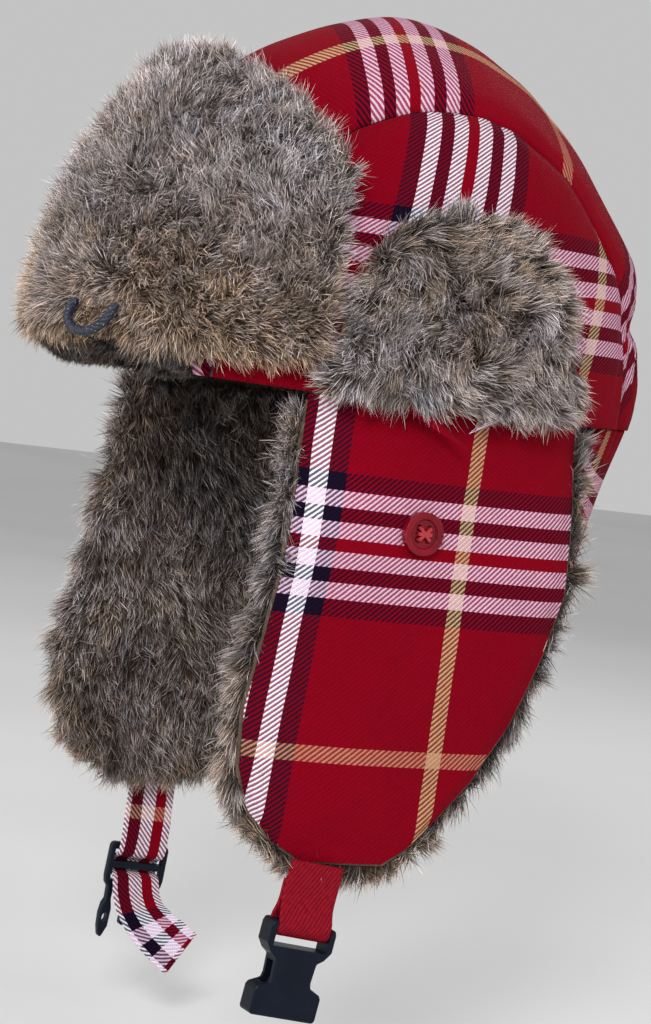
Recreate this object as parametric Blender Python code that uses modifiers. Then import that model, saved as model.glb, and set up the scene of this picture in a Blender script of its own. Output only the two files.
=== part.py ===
"""Trapper hat: three-panel plaid crown, folded fur brim, ear covers, ear flaps, neck flap, chin straps.

Metres, +Z up. The hat faces -Y, the wearer's left is +X, and z = 0 is the ear line of the crown.
"""

import math

import bmesh
import bpy
import numpy as np
from mathutils import Matrix, Vector

MM = 0.001

# crown
CROWN_A = 110 * MM  # half length, front to back
CROWN_B = 88 * MM  # half width
CROWN_H = 140 * MM
ROUND_POWER = 1.25  # below 1 makes the dome boxier than an ellipsoid
RISE_POWER = 0.85
PANEL_T = 2.0 * MM
GORE_HALF = 56 * MM  # half width of the top gore
SEAM_GAP = 0.35 * MM
LINING_OFF = -5.0 * MM
LINING_T = 1.4 * MM
ELASTIC_OFF = -2.9 * MM
ELASTIC_T = 0.8 * MM
ELASTIC_Z = (30 * MM, 44 * MM)
ELASTIC_SPAN = math.radians(58)

# folded brim
BRIM_SPAN = math.radians(60)
BRIM_LOW = 7 * MM
BRIM_TOP = 107 * MM
BRIM_END_TOP = 80 * MM
BRIM_BACK_OFF = 5.3 * MM
BRIM_SHELL_T = 2.0 * MM
BRIM_FUR_OFF = 19.0 * MM
BRIM_FUR_T = 12.8 * MM
BRIM_PIVOT = Vector((0, -115 * MM, 3 * MM))
LOOP_CORD_D = 3.4 * MM
LOOP_LON = math.radians(19)  # angle from the front of the loop's middle
LOOP_HALF_TURN = math.radians(5.2)
LOOP_OFF = 21.6 * MM
LOOP_TOP_Z = 20 * MM
LOOP_LOW_Z = 9.5 * MM
LOOP_STEPS = 14

# neck flap
NECK_OFF = -3.5 * MM
NECK_FROM = math.radians(131)  # angle from the front at which the flap starts
NECK_DROP = 58 * MM
NECK_SHELL_T = 2.0 * MM
NECK_FUR_T = 9.0 * MM
NECK_TAPER = 0.9

# ear flaps: (z, front y, rear y) of the plaid outline
FLAP_OUTLINE = (
    (0, -55, 52), (-15, -55, 53), (-30, -56, 54), (-60, -59, 53), (-82, -62, 47), (-108, -66, 36),
    (-128, -65, 24), (-142, -60, 12), (-152, -50, 2), (-158, -38, -8),
)
FLAP_TOP = -0.7 * MM
FUR_TOP = -3.2 * MM
FLAP_LOW = -158 * MM
FLAP_FLAT_X = 87 * MM
FLAP_SHELL_T = 2.0 * MM
FLAP_FUR_T = 9.5 * MM
FLAP_FUR_REACH = 5 * MM
FLAP_FUR_REACH_LOW = 1 * MM
FLAP_PIVOT_X = 91.5 * MM
BUTTON_AT = (-12 * MM, -43 * MM)
BUTTON_D = 15 * MM
BUTTON_T = 3.0 * MM
BUTTON_HOLE_D = 2.0 * MM
BUTTON_HOLE_AT = 2.0 * MM
THREAD_D = 1.2 * MM

# ear covers folded up on the crown
COVER_FRONT = -54 * MM
COVER_REAR = 41 * MM
COVER_LOW = 4 * MM
COVER_TOP = 64 * MM
COVER_SHELL_T = 2.0 * MM
COVER_FUR_T = 11.0 * MM
COVER_GAP = 1.6 * MM
COVER_CLEAR = 1.2 * MM
COVER_FUR_TRIM = 6 * MM
COVER_PIVOT = (98 * MM, -7 * MM, 4 * MM)

# chin straps
STRAP_X = 87 * MM
STRAP_ROOT_Z = -160.5 * MM
STRAP_W = 20 * MM
STRAP_T = 1.5 * MM
STRAP_L_Y = -34 * MM
STRAP_L_LEAN = math.radians(8)
STRAP_R_Y = -17 * MM
STRAP_R_LEAN = math.radians(4)
SOCKET_BAR_Z = -180 * MM
SOCKET_BAR_D = 3.2 * MM
SOCKET_T = 8.0 * MM
TAPE_T = 1.2 * MM
PLUG_BAR_Z = -200 * MM
PLUG_T = 3.2 * MM
PLUG_SLOTS = {"upper": (1.3, 6.1), "lower": (-6.1, -1.3)}  # mm above the middle bar
PLUG_SLOT_HALF = 10.6 * MM
PLUG_CUT_REACH = 9 * MM
PRONG_HOLE_Y = 9.8 * MM
PRONG_HOLE_DROP = 21.5 * MM

# mesh grids: segments across and along
PANEL_GRID = (44, 26)
LINING_GRID = (32, 18)
BRIM_GRID = (22, 10)
NECK_GRID = (16, 5)
FLAP_GRID = (9, 14)
COVER_GRID = (16, 7)

RED = (0.42, 0.008, 0.015, 1)
FUR_GREY = (0.16, 0.115, 0.08, 1)
FUR_DARK = (0.075, 0.06, 0.05, 1)
NAVY = (0.012, 0.02, 0.045, 1)
BLACK = (0.012, 0.013, 0.018, 1)


def clear_scene():
    """Remove whatever the scene starts with."""
    for obj in list(bpy.data.objects):
        bpy.data.objects.remove(obj)


def collection(name):
    """Return a new collection linked to the scene."""
    made = bpy.data.collections.new(name)
    bpy.context.scene.collection.children.link(made)
    return made


def material(name, color, roughness, metallic=0.0):
    """Return a plain Principled material."""
    mat = bpy.data.materials.new(name)
    mat.use_nodes = True
    shader = mat.node_tree.nodes["Principled BSDF"]
    shader.inputs["Base Color"].default_value = color
    shader.inputs["Roughness"].default_value = roughness
    shader.inputs["Metallic"].default_value = metallic
    mat.diffuse_color = color
    return mat


def add_object(name, bm, home, mat=None, pivot=None):
    """Turn a bmesh built in world coordinates into an object whose origin is at pivot."""
    at = Vector(pivot) if pivot is not None else Vector((0, 0, 0))
    bmesh.ops.translate(bm, vec=-at, verts=bm.verts)
    mesh = bpy.data.meshes.new(name)
    bm.to_mesh(mesh)
    bm.free()
    obj = bpy.data.objects.new(name, mesh)
    obj.location = at
    if mat is not None:
        mesh.materials.append(mat)
    home.objects.link(obj)
    return obj


def solidify(obj, thickness, even=True):
    """Thicken an outward-facing sheet inwards; a thick pad is not evened, which would spike its corners."""
    mod = obj.modifiers.new("Solidify", "SOLIDIFY")
    mod.thickness = thickness
    mod.offset = -1
    mod.use_even_offset = even
    return mod


def bevel(obj, width, segments=2, angle=50):
    """Round the edges sharper than angle degrees."""
    mod = obj.modifiers.new("Bevel", "BEVEL")
    mod.width = width
    mod.segments = segments
    mod.limit_method = "ANGLE"
    mod.angle_limit = math.radians(angle)
    return mod


def cut(obj, cutter, operation="DIFFERENCE"):
    """Add an exact Boolean with a cutter object."""
    cutter.hide_render = True
    cutter.display_type = "WIRE"
    mod = obj.modifiers.new("Cut " + cutter.name, "BOOLEAN")
    mod.operation = operation
    mod.solver = "EXACT"
    mod.object = cutter


def poly_curve(name, points, home, pivot, flat):
    """Poly curve through world points, with its origin at pivot."""
    data = bpy.data.curves.new(name, "CURVE")
    data.dimensions = "2D" if flat else "3D"
    spline = data.splines.new("POLY")
    spline.points.add(len(points) - 1)
    for point, at in zip(spline.points, points):
        point.co = (*(Vector(at) - Vector(pivot)), 1)
    obj = bpy.data.objects.new(name, data)
    obj.location = pivot
    home.objects.link(obj)
    return obj


def crown_point(lat, lon, off=0.0):
    """Point on the crown's outer surface, moved out by off; lon is 0 at the front, + to the left."""
    flat = max(math.cos(lat), 0.0) ** ROUND_POWER
    rise = max(math.sin(lat), 0.0) ** RISE_POWER
    return Vector((
        (CROWN_B + off) * flat * math.sin(lon),
        -(CROWN_A + off) * flat * math.cos(lon),
        (CROWN_H + off) * rise,
    ))


def lat_at(z):
    """Latitude at which the crown's surface reaches height z."""
    return math.asin(min(1.0, max(0.0, z / CROWN_H) ** (1 / RISE_POWER)))


def crown_x(y, z=0.0):
    """Half width of the crown's outer surface at a given y and height."""
    flat = math.cos(lat_at(z)) ** ROUND_POWER
    return CROWN_B * flat * math.sqrt(max(0.0, 1 - (y / (CROWN_A * flat)) ** 2))


def dome_bmesh(off, segments, rings):
    """Upper half of a sphere reshaped to the crown's surface."""
    bm = bmesh.new()
    bmesh.ops.create_uvsphere(bm, u_segments=segments, v_segments=rings, radius=1.0)
    keep = bm.verts[:] + bm.edges[:] + bm.faces[:]
    bmesh.ops.bisect_plane(bm, geom=keep, dist=1e-5, plane_no=(0, 0, 1), clear_inner=True)
    for vert in bm.verts:
        lat = math.asin(min(1.0, max(0.0, vert.co.z)))
        vert.co = crown_point(lat, math.atan2(vert.co.x, -vert.co.y), off)
    return bm


def slice_x(bm, x, keep_above):
    """Cut a bmesh at a plane of constant x and keep one side."""
    geom = bm.verts[:] + bm.edges[:] + bm.faces[:]
    sign = 1 if keep_above else -1
    bmesh.ops.bisect_plane(
        bm, geom=geom, dist=1e-6, plane_co=(x, 0, 0), plane_no=(sign, 0, 0), clear_inner=True
    )


def sheet_bmesh(cols, rows, place):
    """Grid whose (u, v) in 0..1 is placed by a function, faced away from the Z axis."""
    bm = bmesh.new()
    bmesh.ops.create_grid(bm, x_segments=cols, y_segments=rows, size=0.5)
    for vert in bm.verts:
        vert.co = place(vert.co.x + 0.5, vert.co.y + 0.5)
    bm.normal_update()
    outward = sum(f.normal.dot(Vector((*f.calc_center_median().xy, 0))) * f.calc_area() for f in bm.faces)
    if outward < 0:
        bmesh.ops.reverse_faces(bm, faces=bm.faces)
    return bm


def build_crown(home, mats):
    """Top gore, two side panels, lining and the elastic at the nape."""
    gore = dome_bmesh(0, *PANEL_GRID)
    slice_x(gore, GORE_HALF - SEAM_GAP / 2, False)
    slice_x(gore, -GORE_HALF + SEAM_GAP / 2, True)
    solidify(add_object("crown_top_gore", gore, home, mats["plaid"]), PANEL_T)
    for side, label in ((1, "left"), (-1, "right")):
        panel = dome_bmesh(0, *PANEL_GRID)
        slice_x(panel, side * (GORE_HALF + SEAM_GAP / 2), side > 0)
        solidify(add_object("crown_side_" + label, panel, home, mats["plaid"]), PANEL_T)
    lining = dome_bmesh(LINING_OFF, *LINING_GRID)
    solidify(add_object("crown_lining", lining, home, mats["lining"]), LINING_T)

    def place(u, v):
        lon = math.pi + (u - 0.5) * 2 * ELASTIC_SPAN
        low, top = ELASTIC_Z
        return crown_point(lat_at(low + v * (top - low)), lon, ELASTIC_OFF)

    solidify(add_object("nape_elastic", sheet_bmesh(16, 1, place), home, mats["elastic"]), ELASTIC_T)


def brim_place(off, grow=0.0):
    """Placement function for a brim layer lying at a distance off the crown."""

    def place(u, v):
        side = 2 * u - 1
        lon = side * BRIM_SPAN
        top = BRIM_TOP + (BRIM_END_TOP - BRIM_TOP) * abs(side) ** 3 + grow
        low = BRIM_LOW - grow * 0.5
        corner = 1 - 0.16 * abs(side) ** 8
        mid = (top + low) / 2
        z = mid + (v - 0.5) * (top - low) * corner
        return crown_point(lat_at(z), lon, off)

    return place


def build_brim(home, mats):
    """Folded-up brim: plaid shell against the crown, fur outwards, cord loop at the fold."""
    shell = sheet_bmesh(*BRIM_GRID, brim_place(BRIM_BACK_OFF))
    solidify(add_object("front_brim_shell", shell, home, mats["plaid"], BRIM_PIVOT), BRIM_SHELL_T)
    fur = add_object("front_brim_fur", sheet_bmesh(*BRIM_GRID, brim_place(BRIM_FUR_OFF, 2 * MM)), home,
                     mats["fur"], BRIM_PIVOT)
    solidify(fur, BRIM_FUR_T, False)
    bevel(fur, 4 * MM)

    points = []
    for i in range(LOOP_STEPS + 1):
        t = math.pi * i / LOOP_STEPS
        lon = LOOP_LON - LOOP_HALF_TURN * math.cos(t)
        points.append(((CROWN_B + LOOP_OFF) * math.sin(lon), -(CROWN_A + LOOP_OFF) * math.cos(lon),
                       LOOP_TOP_Z - (LOOP_TOP_Z - LOOP_LOW_Z) * math.sin(t)))
    loop = poly_curve("brim_loop", points, home, BRIM_PIVOT, False)
    loop.data.bevel_depth = LOOP_CORD_D / 2
    loop.data.bevel_resolution = 2
    loop.data.use_fill_caps = True
    loop.data.materials.append(mats["navy"])


def neck_place(off, top=FLAP_TOP):
    """Placement function for a neck flap layer."""

    def place(u, v):
        lon = NECK_FROM + u * 2 * (math.pi - NECK_FROM)
        drop = 1 - v
        inset = 1 - (1 - NECK_TAPER) * drop
        corner = 1 - 0.45 * abs(2 * u - 1) ** 6
        point = crown_point(0, lon, off + NECK_OFF)
        return Vector((point.x * inset, point.y * inset, top - (NECK_DROP + top) * corner * drop))

    return place


def build_neck_flap(home, mats):
    """Short flap behind the neck, sewn on as part of the crown."""
    shell = add_object("neck_flap_shell", sheet_bmesh(*NECK_GRID, neck_place(0)), home, mats["plaid"])
    solidify(shell, NECK_SHELL_T)
    fur = sheet_bmesh(*NECK_GRID, neck_place(-NECK_SHELL_T - 1.5 * MM, FUR_TOP))
    fur_obj = add_object("neck_flap_fur", fur, home, mats["fur_dark"])
    solidify(fur_obj, NECK_FUR_T, False)
    bevel(fur_obj, 2.5 * MM)


def flap_place(side, off, reach, reach_low, top=FLAP_TOP):
    """Placement function for an ear flap layer, off inwards from the plaid's face."""
    rows = np.array(FLAP_OUTLINE[::-1]) * MM

    def place(u, v):
        low = FLAP_LOW - reach_low
        z = low + v ** 0.8 * (top - low)
        front = np.interp(max(z, FLAP_LOW), rows[:, 0], rows[:, 1]) - reach * min(1, -z / (20 * MM))
        rear = np.interp(max(z, FLAP_LOW), rows[:, 0], rows[:, 2]) + reach * min(1, -z / (20 * MM))
        y = front + u * (rear - front)
        hang = min(1.0, max(0.0, -z / (70 * MM)))
        hang = hang * hang * (3 - 2 * hang)
        curved = crown_x(y)
        flat = FLAP_FLAT_X - 0.25 * (FLAP_FLAT_X - curved)
        return Vector((side * (curved + hang * (flat - curved) - off), y, z))

    return place


def build_ear_flap(home, cutters, mats, side, label):
    """Hanging ear flap: plaid outside, fur inside, button and its thread."""
    pivot = Vector((side * FLAP_PIVOT_X, -2 * MM, 0))
    face = sheet_bmesh(*FLAP_GRID, flap_place(side, 0, 0, 0))
    shell = add_object("ear_flap_shell_" + label, face, home, mats["plaid"], pivot)
    solidify(shell, FLAP_SHELL_T)
    place = flap_place(side, FLAP_SHELL_T + 0.9 * MM, FLAP_FUR_REACH, FLAP_FUR_REACH_LOW, FUR_TOP)
    fur = add_object("ear_flap_fur_" + label, sheet_bmesh(*FLAP_GRID, place), home, mats["fur_dark"], pivot)
    solidify(fur, FLAP_FUR_T, False)
    bevel(fur, 2.5 * MM)

    y, z = BUTTON_AT
    surface = flap_place(side, 0, 0, 0)
    x = max(abs(surface(u / 20, v / 40).x) for u in range(21) for v in range(41)
            if (surface(u / 20, v / 40).yz - Vector((y, z))).length < BUTTON_D * 0.8)
    base = x + 0.35 * MM
    face_out = Matrix.Rotation(side * math.pi / 2, 4, "Y")

    def disc(bm, radius, depth, at, segments=24):
        spot = Matrix.Translation((side * (at + depth / 2), y, z)) @ face_out
        bmesh.ops.create_cone(bm, cap_ends=True, segments=segments, radius1=radius, radius2=radius,
                              depth=depth, matrix=spot)

    bm = bmesh.new()
    disc(bm, BUTTON_D / 2, BUTTON_T, base)
    button = add_object("ear_button_" + label, bm, home, mats["button"], pivot)
    bm = bmesh.new()
    disc(bm, BUTTON_D / 2 - 2.4 * MM, 2 * MM, base + BUTTON_T - 1 * MM)
    cut(button, add_object("cut_button_dish_" + label, bm, cutters))
    spots = [(sy * BUTTON_HOLE_AT, sz * BUTTON_HOLE_AT) for sy in (-1, 1) for sz in (-1, 1)]
    for i, (dy, dz) in enumerate(spots):
        bm = bmesh.new()
        spot = Matrix.Translation((side * base, y + dy, z + dz)) @ face_out
        bmesh.ops.create_cone(bm, cap_ends=True, segments=8, radius1=BUTTON_HOLE_D / 2,
                              radius2=BUTTON_HOLE_D / 2, depth=12 * MM, matrix=spot)
        cut(button, add_object(f"cut_button_hole_{label}_{i}", bm, cutters))
    bevel(button, 0.5 * MM, 1, 60)

    top = base + BUTTON_T - 1 * MM + 0.3 * MM
    bm = bmesh.new()
    bmesh.ops.create_cube(bm, size=1, matrix=Matrix.Translation((side * (top + THREAD_D / 2), y, z))
                          @ Matrix.Diagonal((THREAD_D, 2 * BUTTON_HOLE_AT + THREAD_D, THREAD_D, 1)))
    thread = add_object("button_thread_" + label, bm, home, mats["thread"], pivot)
    for i, angle in enumerate((45, -45)):
        bm = bmesh.new()
        turn = Matrix.Rotation(math.radians(angle), 4, "X")
        size = (THREAD_D * 0.98, 2 * math.sqrt(2) * BUTTON_HOLE_AT, THREAD_D * 0.9, 1)
        spot = Matrix.Translation((side * (top + THREAD_D / 2), y, z)) @ turn
        bmesh.ops.create_cube(bm, size=1, matrix=spot @ Matrix.Diagonal(size))
        cut(thread, add_object(f"add_thread_bar_{label}_{i}", bm, cutters), "UNION")
    for i, (dy, dz) in enumerate(spots):
        bm = bmesh.new()
        depth = top + THREAD_D * 0.6 - (base - 0.05 * MM)
        spot = Matrix.Translation((side * (base - 0.05 * MM + depth / 2), y + dy, z + dz)) @ face_out
        bmesh.ops.create_cone(bm, cap_ends=True, segments=6, radius1=THREAD_D / 2, radius2=THREAD_D / 2,
                              depth=depth, matrix=spot)
        cut(thread, add_object(f"add_thread_leg_{label}_{i}", bm, cutters), "UNION")


def cover_place(side, off, grow=0.0, trim=0.0):
    """Placement function for an ear cover layer lying at a distance off the crown."""

    def place(u, v):
        t = 2 * u - 1
        mid = (COVER_FRONT + COVER_REAR) / 2
        half = (COVER_REAR - COVER_FRONT) / 2 - trim
        arch = (1 - min(1.0, abs(t)) ** 2.6) ** 0.62
        y = mid + t * half * (1 - 0.10 * v * abs(t) ** 3)
        low = COVER_LOW
        high = low + 10 * MM + (COVER_TOP + grow - low - 10 * MM) * arch
        z = low + v * (high - low)
        lat = lat_at(z)
        lon = math.acos(-y / (CROWN_A * math.cos(lat) ** ROUND_POWER))
        return crown_point(lat, side * lon, off)

    return place


def build_ear_cover(home, mats, side, label):
    """Half-round fur cover folded up against the crown above the ear flap."""
    pivot = Vector((side * COVER_PIVOT[0], *COVER_PIVOT[1:]))
    shell_off = COVER_CLEAR + COVER_SHELL_T
    face = sheet_bmesh(*COVER_GRID, cover_place(side, shell_off))
    shell = add_object("ear_cover_shell_" + label, face, home, mats["plaid"], pivot)
    solidify(shell, COVER_SHELL_T)
    fur_off = shell_off + COVER_GAP + COVER_FUR_T
    place = cover_place(side, fur_off, 1.5 * MM, COVER_FUR_TRIM)
    fur = add_object("ear_cover_fur_" + label, sheet_bmesh(*COVER_GRID, place), home, mats["fur"], pivot)
    solidify(fur, COVER_FUR_T, False)
    bevel(fur, 3.5 * MM)


def lean(y, angle):
    """Rotation about the X axis through a strap's root."""
    root = Vector((0, y, STRAP_ROOT_Z))
    return Matrix.Translation(root) @ Matrix.Rotation(-angle, 4, "X") @ Matrix.Translation(-root)


def ribbon(name, stations, width, thickness, home, mat, turn, pivot):
    """Flat strap through (centre, width direction) stations, turned about its root, thickened both ways."""
    bm = bmesh.new()
    rows = len(stations) - 1
    bmesh.ops.create_grid(bm, x_segments=2, y_segments=rows, size=0.5)
    for vert in bm.verts:
        centre, across = stations[round((vert.co.y + 0.5) * rows)]
        vert.co = Vector(centre) + Vector(across) * (vert.co.x * width)
    bmesh.ops.transform(bm, matrix=turn, verts=bm.verts)
    obj = add_object(name, bm, home, mat, turn @ Vector(pivot))
    mod = solidify(obj, thickness)
    mod.offset = 0
    return obj


def profile(name, outline, x_from, x_to, home, mat, turn, pivot):
    """Plate with an outline in the YZ plane: a filled 2D curve extruded along X, made a mesh."""
    curve = poly_curve(name + "_outline", [(y, z, 0) for y, z in outline], home, (0, 0, 0), True)
    curve.data.splines[0].use_cyclic_u = True
    curve.data.fill_mode = "BOTH"
    curve.data.extrude = (x_to - x_from) / 2
    mesh = bpy.data.meshes.new_from_object(curve.evaluated_get(bpy.context.evaluated_depsgraph_get()))
    bpy.data.objects.remove(curve)
    bm = bmesh.new()
    bm.from_mesh(mesh)
    bpy.data.meshes.remove(mesh)
    bmesh.ops.remove_doubles(bm, verts=bm.verts, dist=1e-5)
    stand = Matrix(((0, 0, 1, (x_from + x_to) / 2), (1, 0, 0, 0), (0, 1, 0, 0), (0, 0, 0, 1)))
    bmesh.ops.transform(bm, matrix=turn @ stand, verts=bm.verts)
    bmesh.ops.recalc_face_normals(bm, faces=bm.faces)
    return add_object(name, bm, home, mat, turn @ Vector(pivot))


def box_cutter(name, low, high, cutters, turn):
    """Box between two corners, for a Boolean cut."""
    bm = bmesh.new()
    low, high = Vector(low), Vector(high)
    bmesh.ops.create_cube(bm, size=1, matrix=turn @ Matrix.Translation((low + high) / 2)
                          @ Matrix.Diagonal((*(high - low), 1)))
    return add_object(name, bm, cutters)


def build_left_strap(home, cutters, mats):
    """Red webbing looped round the bar of the socket half of the side-release buckle."""
    turn = lean(STRAP_L_Y, STRAP_L_LEAN)
    y, bar_z = STRAP_L_Y, SOCKET_BAR_Z
    wrap = SOCKET_BAR_D / math.sqrt(2) + 0.4 * MM + STRAP_T / 2
    close = STRAP_T / 2 + 0.2 * MM
    path = [(close, STRAP_ROOT_Z), (close, STRAP_ROOT_Z - 5 * MM), (close, bar_z + 9 * MM),
            (close + 0.5 * MM, bar_z + 6 * MM), (wrap, bar_z + 2 * MM)]
    for i in range(0, 13):
        t = math.pi * i / 12
        path.append((wrap * math.cos(t), bar_z - wrap * math.sin(t)))
    path += [(-wrap, bar_z + 2 * MM), (-close - 0.5 * MM, bar_z + 6 * MM), (-close, bar_z + 9 * MM),
             (-close, STRAP_ROOT_Z - 4 * MM)]
    stations = [((STRAP_X + x, y, z), (0, 1, 0)) for x, z in path]
    root = (STRAP_X, y, STRAP_ROOT_Z)
    ribbon("chin_strap_left", stations, STRAP_W, STRAP_T, home, mats["webbing"], turn, root)

    top = bar_z + SOCKET_BAR_D / 2
    half = [(9.8, 0), (12, -0.4), (12.6, -2), (12.6, -8), (10.4, -11), (8, -12.6), (7.6, -19), (8, -21),
            (12, -22.8), (12.8, -24), (12.8, -31.6), (12, -32.5)]
    outline = [(y + a * MM, top + b * MM) for a, b in half]
    outline += [(y - a * MM, top + b * MM) for a, b in reversed(half)]
    pivot = (STRAP_X, y, bar_z)
    x_low, x_high = STRAP_X - SOCKET_T / 2, STRAP_X + SOCKET_T / 2
    socket = profile("buckle_socket", outline, x_low, x_high, home, mats["buckle"], turn, pivot)
    far = 20 * MM
    boxes = {
        "slot": ((-far, -10.4, -8.6), (far, 10.4, -SOCKET_BAR_D / MM)),
        "bar_front": ((SOCKET_BAR_D / 2, -10.4, -SOCKET_BAR_D / MM - 1), (far, 10.4, 5)),
        "bar_back": ((-far, -10.4, -SOCKET_BAR_D / MM - 1), (-SOCKET_BAR_D / 2, 10.4, 5)),
        "mouth": ((-2.3 * MM, -10.8, -40), (2.3 * MM, 10.8, -23.6)),
        "throat": ((-2.3 * MM, -6, -26), (2.3 * MM, 6, -13)),
        "window_a": ((-2.3 * MM, 5.5, -21.8), (2.3 * MM, 20, -14)),
        "window_b": ((-2.3 * MM, -20, -21.8), (2.3 * MM, -5.5, -14)),
    }
    bevel(socket, 0.7 * MM, 1, 40)
    for key, (low, high) in boxes.items():
        low = (STRAP_X + low[0], y + low[1] * MM, top + low[2] * MM)
        high = (STRAP_X + high[0], y + high[1] * MM, top + high[2] * MM)
        cut(socket, box_cutter("cut_socket_" + key, low, high, cutters, turn))


def build_right_strap(home, cutters, mats):
    """Plaid tape woven through the bars of the plug half of the buckle, with its free tail."""
    turn = lean(STRAP_R_Y, STRAP_R_LEAN)
    y, bar_z = STRAP_R_Y, PLUG_BAR_Z
    out = PLUG_T / 2 + 1.1 * MM + TAPE_T / 2
    path = [(0, STRAP_ROOT_Z, 0, 0), (0, STRAP_ROOT_Z - 8 * MM, 0, 0), (out * 0.7, bar_z + 19 * MM, 0, 0),
            (out, bar_z + 11 * MM, 0, 0), (out, bar_z + 6.6 * MM, 0, 0),
            (out * 0.75, bar_z + 4.6 * MM, 0, 0),
            (0, bar_z + 3.6 * MM, 0, 0), (-out * 0.75, bar_z + 2.6 * MM, 0, 0),
            (-out, bar_z + 0.9 * MM, 0, 0),
            (-out, bar_z - 0.9 * MM, 0, 0), (-out * 0.75, bar_z - 2.6 * MM, 0, 0),
            (0, bar_z - 3.6 * MM, 0, 0),
            (out * 0.75, bar_z - 4.6 * MM, 0, 0), (out, bar_z - 6.6 * MM, 0, 0),
            (out + 1 * MM, bar_z - 11 * MM, 0.8, 4), (out + 2.4 * MM, bar_z - 16 * MM, 3, 14),
            (out + 4.4 * MM, bar_z - 20.5 * MM, 7, 28), (out + 6.6 * MM, bar_z - 24.5 * MM, 12, 42),
            (out + 8 * MM, bar_z - 28 * MM, 17, 53), (out + 8.6 * MM, bar_z - 31 * MM, 22, 60)]
    stations = [
        ((-STRAP_X + x, y + dy * MM, z), (0, math.cos(math.radians(roll)), math.sin(math.radians(roll))))
        for x, z, dy, roll in path
    ]
    root = (-STRAP_X, y, STRAP_ROOT_Z)
    ribbon("chin_strap_right", stations, STRAP_W, TAPE_T, home, mats["plaid"], turn, root)

    half = [(11.4, 8.8), (12.5, 7.6), (12.6, -5), (12, -8), (10.8, -8.8), (10.6, -14), (11.6, -16),
            (12.1, -20), (11.8, -25), (10.8, -29), (9.6, -29.5), (7.6, -25), (7.4, -18), (8.3, -14),
            (8.2, -9.4), (7.4, -8.6), (3.4, -8.6), (3, -9.4), (2.8, -23), (2.2, -24)]
    outline = [(y + a * MM, bar_z + b * MM) for a, b in half]
    outline += [(y - a * MM, bar_z + b * MM) for a, b in reversed(half)]
    x_low, x_high = -STRAP_X - PLUG_T / 2, -STRAP_X + PLUG_T / 2
    plug = profile("buckle_plug", outline, x_low, x_high, home, mats["buckle"], turn, (-STRAP_X, y, bar_z))
    bevel(plug, 0.5 * MM, 1, 40)
    for key, (low_z, high_z) in PLUG_SLOTS.items():
        low = (-STRAP_X - PLUG_CUT_REACH, y - PLUG_SLOT_HALF, bar_z + low_z * MM)
        high = (-STRAP_X + PLUG_CUT_REACH, y + PLUG_SLOT_HALF, bar_z + high_z * MM)
        cut(plug, box_cutter(f"cut_plug_slot_{key}", low, high, cutters, turn))
    for sign in (-1, 1):
        bm = bmesh.new()
        spot = turn @ Matrix.Translation((-STRAP_X, y + sign * PRONG_HOLE_Y, bar_z - PRONG_HOLE_DROP))
        spot = spot @ Matrix.Diagonal((1, 1, 1.7, 1)) @ Matrix.Rotation(math.pi / 2, 4, "Y")
        bmesh.ops.create_cone(bm, cap_ends=True, segments=16, radius1=1.1 * MM, radius2=1.1 * MM,
                              depth=12 * MM, matrix=spot)
        cut(plug, add_object(f"cut_prong_hole_{'a' if sign < 0 else 'b'}", bm, cutters))


def main():
    """Build every part of the hat."""
    clear_scene()
    home = collection("trapper_hat")
    cutters = collection("cutters")
    mats = {
        "plaid": material("plaid_twill", RED, 0.85),
        "lining": material("lining_satin", NAVY, 0.45),
        "elastic": material("elastic_band", (0.7, 0.7, 0.68, 1), 0.8),
        "fur": material("brim_fur", FUR_GREY, 0.95),
        "fur_dark": material("lining_fur", FUR_DARK, 0.95),
        "navy": material("navy_cord", NAVY, 0.6),
        "button": material("red_button", (0.4, 0.012, 0.02, 1), 0.3),
        "thread": material("red_thread", (0.3, 0.01, 0.015, 1), 0.8),
        "webbing": material("red_webbing", (0.4, 0.012, 0.02, 1), 0.75),
        "buckle": material("black_buckle", BLACK, 0.4),
    }
    build_crown(home, mats)
    build_neck_flap(home, mats)
    build_brim(home, mats)
    for side, label in ((1, "left"), (-1, "right")):
        build_ear_flap(home, cutters, mats, side, label)
        build_ear_cover(home, mats, side, label)
    build_left_strap(home, cutters, mats)
    build_right_strap(home, cutters, mats)


main()
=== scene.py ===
"""Trapper hat: the visual model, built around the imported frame.

Metres, +Z up. The hat faces -Y and the wearer's left is +X.
"""

from __future__ import annotations

import logging
import math
from dataclasses import dataclass, field
from enum import Enum
from typing import Callable, Sequence

import bpy
import numpy as np
from mathutils import Matrix, Vector, noise


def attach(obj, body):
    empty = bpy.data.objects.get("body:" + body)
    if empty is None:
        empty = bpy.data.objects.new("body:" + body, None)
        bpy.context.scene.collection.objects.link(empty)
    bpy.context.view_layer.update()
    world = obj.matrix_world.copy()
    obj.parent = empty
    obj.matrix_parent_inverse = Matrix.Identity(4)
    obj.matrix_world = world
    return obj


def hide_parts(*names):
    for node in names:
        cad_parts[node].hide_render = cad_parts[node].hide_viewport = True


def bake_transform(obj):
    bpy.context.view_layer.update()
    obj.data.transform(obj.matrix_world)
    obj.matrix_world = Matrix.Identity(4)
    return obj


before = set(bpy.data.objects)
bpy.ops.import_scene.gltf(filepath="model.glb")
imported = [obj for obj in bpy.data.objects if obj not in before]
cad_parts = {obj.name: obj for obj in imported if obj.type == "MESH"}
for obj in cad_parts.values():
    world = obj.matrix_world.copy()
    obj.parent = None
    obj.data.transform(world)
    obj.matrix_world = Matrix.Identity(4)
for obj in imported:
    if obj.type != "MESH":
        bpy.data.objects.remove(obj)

LOG = logging.getLogger("trapper_hat")
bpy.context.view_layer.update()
MM = 0.001
UV_NAME = "Cloth"
HAIR_NAME = "hair"
Place = Callable[[float, float], Vector]
Rgb = tuple[float, float, float]


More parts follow.
